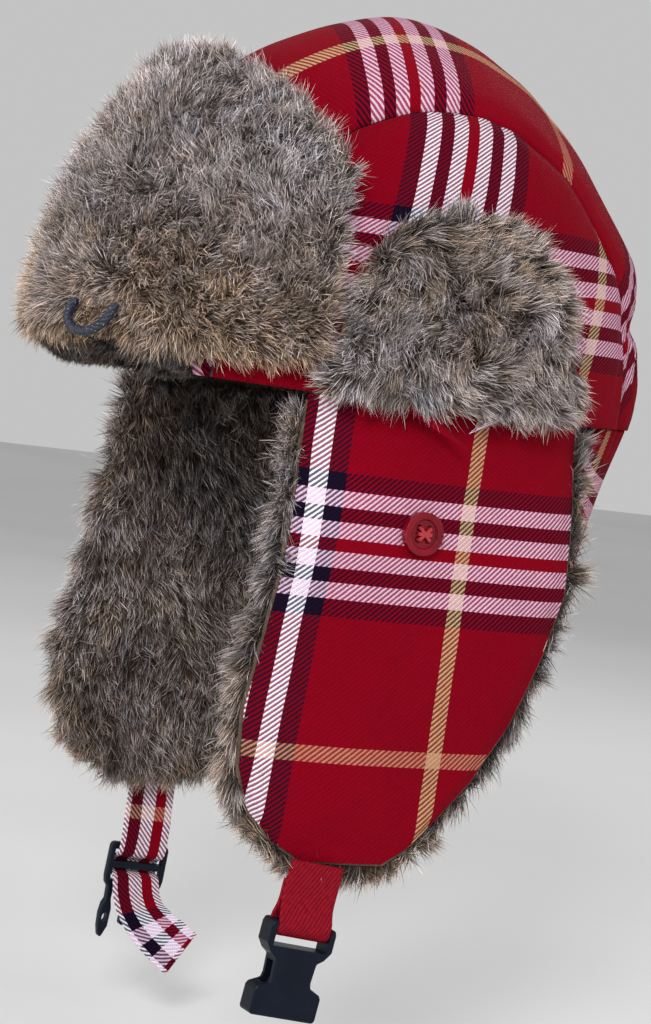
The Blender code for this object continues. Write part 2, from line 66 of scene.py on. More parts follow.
# ---------------------------------------------------------------- the hat's own shape


class Side(Enum):
    """Which side of the wearer a piece is on."""

    LEFT = 1
    RIGHT = -1

    @property
    def label(self) -> str:
        """The side's name as the nodes have it."""
        return self.name.lower()


@dataclass(frozen=True)
class CrownForm:
    """The dome that every layer of the hat is measured from."""

    half_length: float = 110 * MM
    half_width: float = 88 * MM
    height: float = 140 * MM
    round_power: float = 1.25
    rise_power: float = 0.85
    gore_half: float = 56 * MM
    elastic_z: float = 38 * MM

    def flat(self, lat: float) -> float:
        """Share of the full plan size that is left at a latitude."""
        return max(math.cos(lat), 0.0) ** self.round_power

    def lat_at(self, z: float) -> float:
        """Latitude at which the dome reaches a height."""
        return math.asin(min(1.0, max(0.0, z / self.height) ** (1 / self.rise_power)))

    def point(self, lat: float, lon: float, off: float = 0.0) -> Vector:
        """Point of the dome moved out by off.

        Args:
            lat: Angle above the ear line, in radians.
            lon: Angle from the front, positive to the wearer's left.
            off: Distance outwards, in metres.

        Returns:
            The point in the row frame.
        """
        flat = self.flat(lat)
        rise = max(math.sin(lat), 0.0) ** self.rise_power
        return Vector((
            (self.half_width + off) * flat * math.sin(lon),
            -(self.half_length + off) * flat * math.cos(lon),
            (self.height + off) * rise,
        ))

    def half_x(self, y: float, z: float = 0.0) -> float:
        """Half width of the dome at a distance y from the middle and a height z."""
        flat = self.flat(self.lat_at(z))
        return self.half_width * flat * math.sqrt(max(0.0, 1 - (y / (self.half_length * flat)) ** 2))

    def lon_at(self, y: float, lat: float) -> float:
        """Angle from the front at which the dome has a given y."""
        ratio = -y / (self.half_length * max(self.flat(lat), 1e-6))
        return math.acos(max(-1.0, min(1.0, ratio)))

    def slack(self, lat: float, lon: float) -> float:
        """How far the cloth stands off the plain dome: soft dents, and the gathers at the nape.

        Args:
            lat: Angle above the ear line.
            lon: Angle from the front.

        Returns:
            Distance outwards, in metres.
        """
        spot = self.point(lat, lon)
        dents = 1.5 * MM * noise.noise(spot * 24) + 0.6 * MM * noise.noise(spot * 60)
        back = smooth(0.30 * math.pi, 0.12 * math.pi, abs(math.pi - abs(lon)))
        z = spot.z
        pinch = -3.2 * MM * math.exp(-((z - self.elastic_z) / (5 * MM)) ** 2)
        bulge = 0.6 * MM * math.exp(-((z - 15 * MM) / (12 * MM)) ** 2)
        bulge += 3.0 * MM * math.exp(-((z - 58 * MM) / (14 * MM)) ** 2)
        wander = noise.noise(spot * 30) * 2.2
        arc = lon * 100 * MM
        folds = math.sin(arc / (9 * MM) * 2 * math.pi + wander)
        folds *= 1.7 * MM * math.exp(-((z - 27 * MM) / (22 * MM)) ** 2)
        lifted = dents * smooth(0, 12 * MM, z) + back * (pinch + bulge + folds) * smooth(-1 * MM, 3 * MM, z)
        return lifted


CROWN = CrownForm()


def smooth(start: float, end: float, value: float) -> float:
    """Smooth step from 0 at start to 1 at end, in either direction."""
    t = max(0.0, min(1.0, (value - start) / (end - start)))
    return t * t * (3 - 2 * t)


# ---------------------------------------------------------------- modelling helpers


def deselect() -> None:
    """Leave edit mode and select nothing."""
    if bpy.context.object and bpy.context.object.mode != "OBJECT":
        bpy.ops.object.mode_set(mode="OBJECT")
    bpy.ops.object.select_all(action="DESELECT")


def make_active(obj: bpy.types.Object) -> None:
    """Select one object alone and make it active."""
    deselect()
    obj.select_set(True)
    bpy.context.view_layer.objects.active = obj


def apply_all(obj: bpy.types.Object) -> None:
    """Apply every modifier of an object, in order."""
    make_active(obj)
    for name in [m.name for m in obj.modifiers]:
        bpy.ops.object.modifier_apply(modifier=name)


def panel(name: str, cols: int, rows: int, place: Place, cloth: Place | None = None) -> bpy.types.Object:
    """Cloth panel: a grid shaped by a placement function, facing away from the crown's middle.

    Args:
        name: The piece's name.
        cols: Faces across.
        rows: Faces along.
        place: Gives the point for (u, v) in 0..1.
        cloth: Gives the flat cloth coordinates in metres for (u, v), for the UV map.

    Returns:
        The new mesh object.
    """
    deselect()
    bpy.ops.mesh.primitive_grid_add(x_subdivisions=cols, y_subdivisions=rows, size=1)
    obj = bpy.context.object
    obj.name = obj.data.name = name
    mesh = obj.data
    while mesh.uv_layers:
        mesh.uv_layers.remove(mesh.uv_layers[0])
    spots = [(v.co.x + 0.5, v.co.y + 0.5) for v in mesh.vertices]
    if cloth is not None:
        layer = mesh.uv_layers.new(name=UV_NAME)
        flat = [cloth(u, v) for u, v in spots]
        for loop in mesh.loops:
            layer.data[loop.index].uv = flat[loop.vertex_index][:2]
    for vert, (u, v) in zip(mesh.vertices, spots):
        vert.co = place(u, v)
    mesh.update()
    outward = sum(f.normal.dot(Vector((f.center.x, f.center.y, 0))) * f.area for f in mesh.polygons)
    if outward < 0:
        mesh.flip_normals()
    return obj


def thicken(obj: bpy.types.Object, thickness: float, edge: float = 0.0,
            even: bool = True) -> bpy.types.Object:
    """Give a panel its thickness inwards and round its rim.

    Args:
        obj: An open, outward-facing panel.
        thickness: Wall thickness in metres.
        edge: Radius of the rim's rounding, or 0 for none.
        even: Whether the wall is kept even where the panel bends.

    Returns:
        The same object, smooth shaded.
    """
    wall = obj.modifiers.new("Wall", "SOLIDIFY")
    wall.thickness = thickness
    wall.offset = -1
    wall.use_even_offset = even
    if edge:
        rim = obj.modifiers.new("Rim", "BEVEL")
        rim.width = edge
        rim.segments = 3
        rim.limit_method = "ANGLE"
        rim.angle_limit = math.radians(50)
    apply_all(obj)
    make_active(obj)
    bpy.ops.object.shade_smooth()
    return obj


def triangle_mesh(name: str, verts: np.ndarray, tris: np.ndarray) -> bpy.types.Object:
    """Smooth mesh object from arrays of points and triangles.

    Args:
        name: The piece's name.
        verts: (n, 3) points.
        tris: (m, 3) vertex numbers.

    Returns:
        The new object, linked to the scene.
    """
    mesh = bpy.data.meshes.new(name)
    mesh.vertices.add(len(verts))
    mesh.vertices.foreach_set("co", verts.astype(np.float32).ravel())
    mesh.loops.add(tris.size)
    mesh.loops.foreach_set("vertex_index", tris.astype(np.int32).ravel())
    mesh.polygons.add(len(tris))
    mesh.polygons.foreach_set("loop_start", np.arange(len(tris), dtype=np.int32) * 3)
    mesh.polygons.foreach_set("use_smooth", np.ones(len(tris), bool))
    mesh.update(calc_edges=True)
    obj = bpy.data.objects.new(name, mesh)
    bpy.context.scene.collection.objects.link(obj)
    return obj


# ---------------------------------------------------------------- finishes


class Board:
    """A node tree with short ways to add and wire nodes."""

    def __init__(self, tree: bpy.types.NodeTree) -> None:
        """Keep the tree."""
        self.tree = tree

    def add(self, kind: str, **settings: object) -> bpy.types.Node:
        """Add a node and set its properties."""
        node = self.tree.nodes.new(kind)
        for key, value in settings.items():
            setattr(node, key, value)
        return node

    def feed(self, node: bpy.types.Node, socket: str | int, source: object) -> None:
        """Wire a socket into an input, or set the input to a plain value."""
        target = node.inputs[socket]
        if isinstance(source, bpy.types.NodeSocket):
            self.tree.links.new(source, target)
        else:
            target.default_value = source

    def math(self, operation: str, a: object, b: object = 0.0, clamp: bool = False) -> bpy.types.NodeSocket:
        """Math node's result for two sockets or numbers."""
        node = self.add("ShaderNodeMath", operation=operation, use_clamp=clamp)
        self.feed(node, 0, a)
        self.feed(node, 1, b)
        return node.outputs[0]

    def mix(self, factor: object, a: object, b: object, blend: str = "MIX") -> bpy.types.NodeSocket:
        """Colour mix of two sockets or colours."""
        node = self.add("ShaderNodeMix", data_type="RGBA", blend_type=blend)
        self.feed(node, 0, factor)
        self.feed(node, 6, a if isinstance(a, bpy.types.NodeSocket) else (*a[:3], 1))
        self.feed(node, 7, b if isinstance(b, bpy.types.NodeSocket) else (*b[:3], 1))
        return node.outputs[2]

    def ramp(self, factor: object, stops: Sequence[tuple[float, Rgb]],
             hard: bool = False) -> bpy.types.NodeSocket:
        """Colour ramp over a factor."""
        node = self.add("ShaderNodeValToRGB")
        band = node.color_ramp
        band.interpolation = "CONSTANT" if hard else "LINEAR"
        while len(band.elements) > 1:
            band.elements.remove(band.elements[-1])
        for i, (at, color) in enumerate(stops):
            stop = band.elements[0] if i == 0 else band.elements.new(at)
            stop.position = at
            stop.color = (*color, 1)
        self.feed(node, 0, factor)
        return node.outputs[0]

    def noise(self, where: object, scale: float, detail: float = 3.0,
              rough: float = 0.55) -> bpy.types.NodeSocket:
        """Noise value over a vector."""
        node = self.add("ShaderNodeTexNoise")
        self.feed(node, "Vector", where)
        self.feed(node, "Scale", scale)
        self.feed(node, "Detail", detail)
        self.feed(node, "Roughness", rough)
        return node.outputs["Fac"]

    def place(self) -> bpy.types.NodeSocket:
        """Object coordinates, in metres."""
        return self.add("ShaderNodeTexCoord").outputs["Object"]

    def cloth(self) -> bpy.types.NodeSocket:
        """The piece's own cloth coordinates, in metres."""
        return self.add("ShaderNodeUVMap", uv_map=UV_NAME).outputs[0]

    def split(self, vector: object) -> tuple[bpy.types.NodeSocket, ...]:
        """X, Y and Z of a vector."""
        node = self.add("ShaderNodeSeparateXYZ")
        self.feed(node, 0, vector)
        return tuple(node.outputs)

    def stretch(self, vector: object, scale: Sequence[float], move: Sequence[float] = (0, 0, 0),
                turn: Sequence[float] = (0, 0, 0)) -> bpy.types.NodeSocket:
        """Mapping of a vector."""
        node = self.add("ShaderNodeMapping")
        self.feed(node, "Vector", vector)
        node.inputs["Scale"].default_value = scale
        node.inputs["Location"].default_value = move
        node.inputs["Rotation"].default_value = turn
        return node.outputs[0]


def group(name: str, ins: Sequence[tuple[str, str, object]], outs: Sequence[tuple[str, str]],
          build: Callable[[Board, bpy.types.Node, bpy.types.Node], None]) -> bpy.types.NodeTree:
    """Shader node group, built once and found by name after that.

    Args:
        name: The group's name.
        ins: (name, socket type, default) of each input.
        outs: (name, socket type) of each output.
        build: Wires the group between its input and output nodes.

    Returns:
        The node group.
    """
    found = bpy.data.node_groups.get(name)
    if found:
        return found
    tree = bpy.data.node_groups.new(name, "ShaderNodeTree")
    for label, kind, value in ins:
        socket = tree.interface.new_socket(label, in_out="INPUT", socket_type=kind)
        if value is not None:
            socket.default_value = value
    for label, kind in outs:
        tree.interface.new_socket(label, in_out="OUTPUT", socket_type=kind)
    board = Board(tree)
    build(board, board.add("NodeGroupInput"), board.add("NodeGroupOutput"))
    return tree


RED_YARN: Rgb = (0.185, 0.0002, 0.0075)
DARK_YARN: Rgb = (0.006, 0.003, 0.013)
WHITE_YARN: Rgb = (0.70, 0.68, 0.78)
TAN_YARN: Rgb = (0.46, 0.29, 0.155)


@dataclass(frozen=True)
class TartanSett:
    """Widths of the tartan's stripes, from the middle of the stripe group out to the tan line."""

    half: float = 71 * MM
    red_core: float = 2.1 * MM
    stripe: float = 5.6 * MM
    bar: float = 4.8 * MM
    edge_bar: float = 6.2 * MM
    tan_half: float = 2.9 * MM

    def stops(self) -> list[tuple[float, Rgb]]:
        """Ramp stops from the group's middle (0) to the tan line's middle (1)."""
        at, found = self.red_core, [(0.0, RED_YARN)]
        for width, color in ((self.stripe, WHITE_YARN), (self.bar, DARK_YARN), (self.stripe, WHITE_YARN),
                             (self.edge_bar, DARK_YARN), (self.half - self.tan_half, RED_YARN)):
            found.append((at / self.half, color))
            at += width
        found.append(((self.half - self.tan_half) / self.half, TAN_YARN))
        return found


def twill_tartan_group() -> bpy.types.NodeTree:
    """Two-and-two twill of warp and weft yarns in the tartan's sett, with painted shade along its ridges.

    Returns:
        The group, with the cloth's position in and its colour and height out.
    """

    def build(board: Board, enter: bpy.types.Node, leave: bpy.types.Node) -> None:
        """Lay warp and weft bands over each other in the twill's slant, and darken them with painted shade
        along the ridges and cross threads.
        """
        sett = TartanSett()
        x, y, _ = board.split(enter.outputs["Cloth"])
        bands = []
        for axis in (x, y):
            fold = board.math("PINGPONG", axis, sett.half)
            bands.append(board.ramp(board.math("DIVIDE", fold, sett.half), sett.stops(), hard=True))
        jitter = board.noise(board.stretch(enter.outputs["Cloth"], (700, 700, 1)), 1.0, 2.0)
        lean = board.math("SUBTRACT", x, y)
        phase = board.math("ADD", board.math("DIVIDE", lean, enter.outputs["Pitch"]),
                           board.math("MULTIPLY", jitter, 0.22))
        wave = board.math("FRACT", phase)
        over = board.math("LESS_THAN", wave, enter.outputs["Warp share"])
        bands[1] = board.mix(1.0, bands[1], enter.outputs["Weft tint"], "MULTIPLY")
        blurred = board.mix(0.5, bands[1], bands[0])
        color = board.mix(0.22, board.mix(over, bands[1], bands[0]), blurred)
        ridge = board.math("PINGPONG", phase, 0.25)
        ridge = board.math("MULTIPLY", ridge, 4.0)
        cross = board.math("FRACT", board.math("DIVIDE", board.math("ADD", x, y), enter.outputs["Yarn"]))
        cross = board.math("PINGPONG", cross, 0.5)
        # painted shade: the ridge and cross-thread profiles darken the yarn colour along the twill, mixed
        # with random jitter and fuzz
        shade = board.math("ADD", board.math("MULTIPLY", ridge, 0.38), board.math("MULTIPLY", cross, 0.30))
        shade = board.math("ADD", shade, board.math("MULTIPLY", jitter, 0.30))
        shade = board.math("ADD", shade, 0.42, clamp=True)
        fuzz = board.noise(board.stretch(enter.outputs["Cloth"], (2600, 2600, 1)), 1.0, 1.0)
        lit = board.math("ADD", board.math("MULTIPLY", fuzz, 0.35), board.math("MULTIPLY", shade, 0.95))
        dim = board.mix(1.0, color, lit, "MULTIPLY")
        board.feed(leave, "Color", dim)
        board.feed(leave, "Height", board.math("ADD", ridge, board.math("MULTIPLY", cross, 0.6)))

    return group("Twill tartan", [("Cloth", "NodeSocketVector", None), ("Pitch", "NodeSocketFloat", 2 * MM),
                                  ("Yarn", "NodeSocketFloat", 1.1 * MM),
                                  ("Warp share", "NodeSocketFloat", 0.5),
                                  ("Weft tint", "NodeSocketColor", (0.86, 0.60, 0.70, 1))],
                 [("Color", "NodeSocketColor"), ("Height", "NodeSocketFloat")], build)


def lint_group() -> bpy.types.NodeTree:
    """Soft large-scale colour variation of handled cloth.

    Returns:
        The group, with a colour and a position in and the varied colour out.
    """

    def build(board: Board, enter: bpy.types.Node, leave: bpy.types.Node) -> None:
        """Vary the brightness slowly and finely over the cloth."""
        large = board.noise(enter.outputs["Place"], 22, 2.0)
        small = board.noise(enter.outputs["Place"], 180, 3.0)
        level = board.math("ADD", board.math("MULTIPLY", large, 0.22), board.math("MULTIPLY", small, 0.16))
        level = board.math("ADD", level, 0.81)
        board.feed(leave, "Color", board.mix(1.0, enter.outputs["Color"], level, "MULTIPLY"))

    return group("Handled cloth", [("Color", "NodeSocketColor", None), ("Place", "NodeSocketVector", None)],
                 [("Color", "NodeSocketColor")], build)


def blank(name: str) -> tuple[bpy.types.Material, Board, bpy.types.Node]:
    """New material with its Principled shader and a board over its nodes."""
    made = bpy.data.materials.new(name)
    made.use_nodes = True
    board = Board(made.node_tree)
    return made, board, made.node_tree.nodes["Principled BSDF"]


def bump(board: Board, shader: bpy.types.Node, height: object, strength: float, distance: float) -> None:
    """Feed a height through a Bump node into the shader's normal."""
    node = board.add("ShaderNodeBump")
    node.inputs["Strength"].default_value = strength
    node.inputs["Distance"].default_value = distance
    board.feed(node, "Height", height)
    board.feed(shader, "Normal", node.outputs[0])


@dataclass(frozen=True)
class TartanCloth:
    """Brushed twill in the tartan; centre is the cloth position of a stripe crossing's middle."""

    name: str
    centre: tuple[float, float] = (0.0, 0.0)
    pitch: float = 2.0 * MM
    turn: float = 0.0

    def make(self) -> bpy.types.Material:
        """Build the material."""
        made, board, shader = blank(self.name)
        where = board.stretch(board.cloth(), (1, 1, 1), (-self.centre[0], -self.centre[1], 0),
                              (0, 0, self.turn))
        weave = board.add("ShaderNodeGroup", node_tree=twill_tartan_group())
        board.feed(weave, "Cloth", where)
        weave.inputs["Pitch"].default_value = self.pitch
        lint = board.add("ShaderNodeGroup", node_tree=lint_group())
        board.feed(lint, "Color", weave.outputs["Color"])
        board.feed(lint, "Place", board.place())
        board.feed(shader, "Base Color", lint.outputs["Color"])
        rough = board.math("ADD", board.math("MULTIPLY", board.noise(board.place(), 400), 0.2), 0.72)
        board.feed(shader, "Roughness", rough)
        shader.inputs["Specular IOR Level"].default_value = 0.03
        shader.inputs["Sheen Weight"].default_value = 0.05
        shader.inputs["Sheen Roughness"].default_value = 0.4
        shader.inputs["Sheen Tint"].default_value = (1.0, 0.25, 0.3, 1)
        bump(board, shader, weave.outputs["Height"], 0.5, 0.35 * MM)
        return made


@dataclass(frozen=True)
class FurPile:
    """Hair colour from root to tip; each lock leans to brown or to grey, the grey patches partly the fur's
    own grey and partly painted highlight.
    """

    name: str
    root: Rgb = (0.020, 0.012, 0.009)
    brown_mid: Rgb = (0.115, 0.074, 0.047)
    brown_tip: Rgb = (0.56, 0.395, 0.265)
    grey_mid: Rgb = (0.115, 0.100, 0.104)
    grey_tip: Rgb = (0.76, 0.73, 0.80)
    grey_share: float = 0.5
    warm_low: float = 0.0
    low_z: float = 0.0
    # Painted light and shade: the level of this copy of the fur, set by how lit its piece is.
    painted_light_level: float = 1.0

    def make(self) -> bpy.types.Material:
        """Build the material."""
        made, board, shader = blank(self.name)
        hair = board.add("ShaderNodeAttribute", attribute_type="GEOMETRY", attribute_name=HAIR_NAME)
        parts = board.add("ShaderNodeSeparateColor")
        board.feed(parts, 0, hair.outputs["Color"])
        along, tone, lock = parts.outputs
        brown = board.ramp(along, [(0.0, self.root), (0.45, self.brown_mid), (1.0, self.brown_tip)])
        grey = board.ramp(along, [(0.0, self.root), (0.5, self.grey_mid), (1.0, self.grey_tip)])
        where = board.place()
        # partly painted highlight: the grey patches stand for glints on lit locks as well as for the fur's
        # own grey
        patch = board.noise(where, 26, 2.0)
        lean = board.math("ADD", board.math("MULTIPLY", lock, 0.5), board.math("MULTIPLY", patch, 1.1))
        lean = board.math("ADD", lean, self.grey_share - 1.05 + 0.25)
        # browner and darker towards the bottom: partly the fur's own colour, partly painted shade below the
        # lit upper part
        if self.warm_low:
            _, _, z = board.split(where)
            rise = board.add("ShaderNodeMapRange")
            board.feed(rise, 0, z)
            rise.inputs[1].default_value = self.low_z
            rise.inputs[2].default_value = self.low_z + 50 * MM
            rise.inputs[3].default_value = -self.warm_low
            rise.inputs[4].default_value = 0.0
            lean = board.math("ADD", lean, rise.outputs[0])
        lean = board.math("MULTIPLY", board.math("ADD", lean, 0.0, clamp=True), 1.0, clamp=True)
        color = board.mix(lean, brown, grey)
        shade = board.noise(board.stretch(where, (1, 1, 0.7)), 34, 3.0, 0.6)
        level = board.math("ADD", board.math("MULTIPLY", tone, 1.8), 0.15)
        level = board.math("MULTIPLY", level, board.math("ADD", board.math("MULTIPLY", shade, 2.2), -0.12))
        # painted light and shade: the piece's level lightens or darkens this copy of the fur by how lit the
        # piece is
        color = board.mix(1.0, color, board.math("MULTIPLY", level, self.painted_light_level), "MULTIPLY")
        board.feed(shader, "Base Color", color)
        board.feed(shader, "Roughness", board.math("ADD", board.math("MULTIPLY", tone, 0.2), 0.5))
        shader.inputs["Specular IOR Level"].default_value = 0.25
        return made


@dataclass(frozen=True)
class FurHide:
    """The dark ground of short hair between the long locks."""

    name: str
    dark: Rgb = (0.030, 0.019, 0.012)
    light: Rgb = (0.15, 0.10, 0.065)

    def make(self) -> bpy.types.Material:
        """Build the material."""
        made, board, shader = blank(self.name)
        where = board.stretch(board.place(), (1, 1, 0.25))
        fine = board.noise(where, 900, 4.0, 0.7)
        broad = board.noise(board.place(), 60, 3.0)
        mix = board.math("ADD", board.math("MULTIPLY", fine, 0.8), board.math("MULTIPLY", broad, 0.4))
        board.feed(shader, "Base Color", board.ramp(mix, [(0.35, self.dark), (0.85, self.light)]))
        board.feed(shader, "Roughness", board.math("ADD", board.math("MULTIPLY", fine, 0.2), 0.75))
        bump(board, shader, fine, 0.8, 1.5 * MM)
        return made


@dataclass(frozen=True)
class Satin:
    """Smooth lining cloth with fine threads across it."""

    name: str
    color: Rgb = (0.010, 0.014, 0.035)

    def make(self) -> bpy.types.Material:
        """Build the material."""
        made, board, shader = blank(self.name)
        where = board.place()
        threads = board.noise(board.stretch(where, (250, 250, 2600)), 1.0, 2.0)
        soft = board.noise(where, 30, 2.0)
        tone = board.math("ADD", board.math("MULTIPLY", threads, 0.5), board.math("MULTIPLY", soft, 0.5))
        lighter = tuple(min(1.0, c * 2.4 + 0.004) for c in self.color)
        board.feed(shader, "Base Color", board.ramp(tone, [(0.3, self.color), (0.75, lighter)]))
        board.feed(shader, "Roughness", board.math("ADD", board.math("MULTIPLY", threads, 0.2), 0.32))
        shader.inputs["Sheen Weight"].default_value = 0.3
        bump(board, shader, threads, 0.25, 0.2 * MM)
        return made


@dataclass(frozen=True)
class Webbing:
    """Narrow woven tape with slanting ribs and a firm edge."""

    name: str
    color: Rgb = (0.215, 0.0002, 0.009)
    rib: float = 1.5 * MM

    def make(self) -> bpy.types.Material:
        """Build the material."""
        made, board, shader = blank(self.name)
        where = board.cloth()
        x, y, _ = board.split(where)
        jitter = board.noise(board.stretch(where, (500, 500, 1)), 1.0, 2.0)
        lean = board.math("ADD", board.math("MULTIPLY", x, 1.0), board.math("MULTIPLY", y, 0.55))
        phase = board.math("ADD", board.math("DIVIDE", lean, self.rib), board.math("MULTIPLY", jitter, 0.35))
        rib = board.math("MULTIPLY", board.math("PINGPONG", phase, 0.5), 2.0)
        pick = board.math("PINGPONG", board.math("DIVIDE", y, 0.7 * MM), 0.5)
        height = board.math("ADD", rib, board.math("MULTIPLY", pick, 0.8))
        # painted shade: the colour darkens in the grooves between the ribs and picks, mixed with random tone
        # from the jitter
        shade = board.math("ADD", board.math("MULTIPLY", height, 0.32), board.math("MULTIPLY", jitter, 0.5))
        dark = tuple(c * 0.30 for c in self.color)
        light = tuple(min(1.0, c * 1.25 + 0.006) for c in self.color)
        board.feed(shader, "Base Color", board.ramp(shade, [(0.15, dark), (0.75, light)]))
        board.feed(shader, "Roughness", board.math("ADD", board.math("MULTIPLY", jitter, 0.2), 0.6))
        shader.inputs["Specular IOR Level"].default_value = 0.05
        bump(board, shader, height, 0.6, 0.35 * MM)
        return made


@dataclass(frozen=True)
class MouldedPlastic:
    """Black moulded plastic with a fine spark-eroded texture and lighter smears."""

    name: str
    color: Rgb = (0.0025, 0.0035, 0.008)

    def make(self) -> bpy.types.Material:
        """Build the material."""
        made, board, shader = blank(self.name)
        where = board.place()
        grain = board.noise(where, 1500, 2.0)
        smear = board.noise(where, 90, 3.0)
        tone = board.math("ADD", board.math("MULTIPLY", grain, 0.3), board.math("MULTIPLY", smear, 0.7))
        lighter = tuple(c * 1.8 + 0.001 for c in self.color)
        board.feed(shader, "Base Color", board.ramp(tone, [(0.35, self.color), (0.8, lighter)]))
        board.feed(shader, "Roughness", board.math("ADD", board.math("MULTIPLY", tone, 0.25), 0.28))
        shader.inputs["Specular IOR Level"].default_value = 0.14
        shader.inputs["Specular Tint"].default_value = (0.75, 0.88, 1.0, 1)
        bump(board, shader, board.math("ADD", grain, board.math("MULTIPLY", smear, 0.5)), 0.12, 0.1 * MM)
        return made


@dataclass(frozen=True)
class ButtonResin:
    """Glossy dyed resin with a faint swirl."""

    name: str
    color: Rgb = (0.165, 0.0005, 0.008)

    def make(self) -> bpy.types.Material:
        """Build the material."""
        made, board, shader = blank(self.name)
        where = board.place()
        swirl = board.noise(where, 160, 4.0, 0.6)
        dark = tuple(c * 0.55 for c in self.color)
        board.feed(shader, "Base Color", board.ramp(swirl, [(0.3, dark), (0.7, self.color)]))
        board.feed(shader, "Roughness", board.math("ADD", board.math("MULTIPLY", swirl, 0.15), 0.18))
        shader.inputs["Specular IOR Level"].default_value = 0.25
        shader.inputs["Coat Weight"].default_value = 0.12
        shader.inputs["Coat Roughness"].default_value = 0.12
        return made


@dataclass(frozen=True)
class Thread:
    """Twisted thread or cord in one dye with light flecks."""

    name: str
    color: Rgb
    fleck: Rgb
    scale: float = 1500.0

    def make(self) -> bpy.types.Material:
        """Build the material."""
        made, board, shader = blank(self.name)
        grain = board.noise(board.place(), self.scale, 3.0, 0.6)
        board.feed(shader, "Base Color",
                   board.ramp(grain, [(0.4, self.color), (0.62, self.color), (0.72, self.fleck)]))
        board.feed(shader, "Roughness", board.math("ADD", board.math("MULTIPLY", grain, 0.2), 0.5))
        bump(board, shader, grain, 0.5, 0.2 * MM)
        return made


def dress(obj: bpy.types.Object, material: bpy.types.Material) -> bpy.types.Object:
    """Give an object one material all over."""
    obj.data.materials.clear()
    obj.data.materials.append(material)
    return obj


# ---------------------------------------------------------------- fur


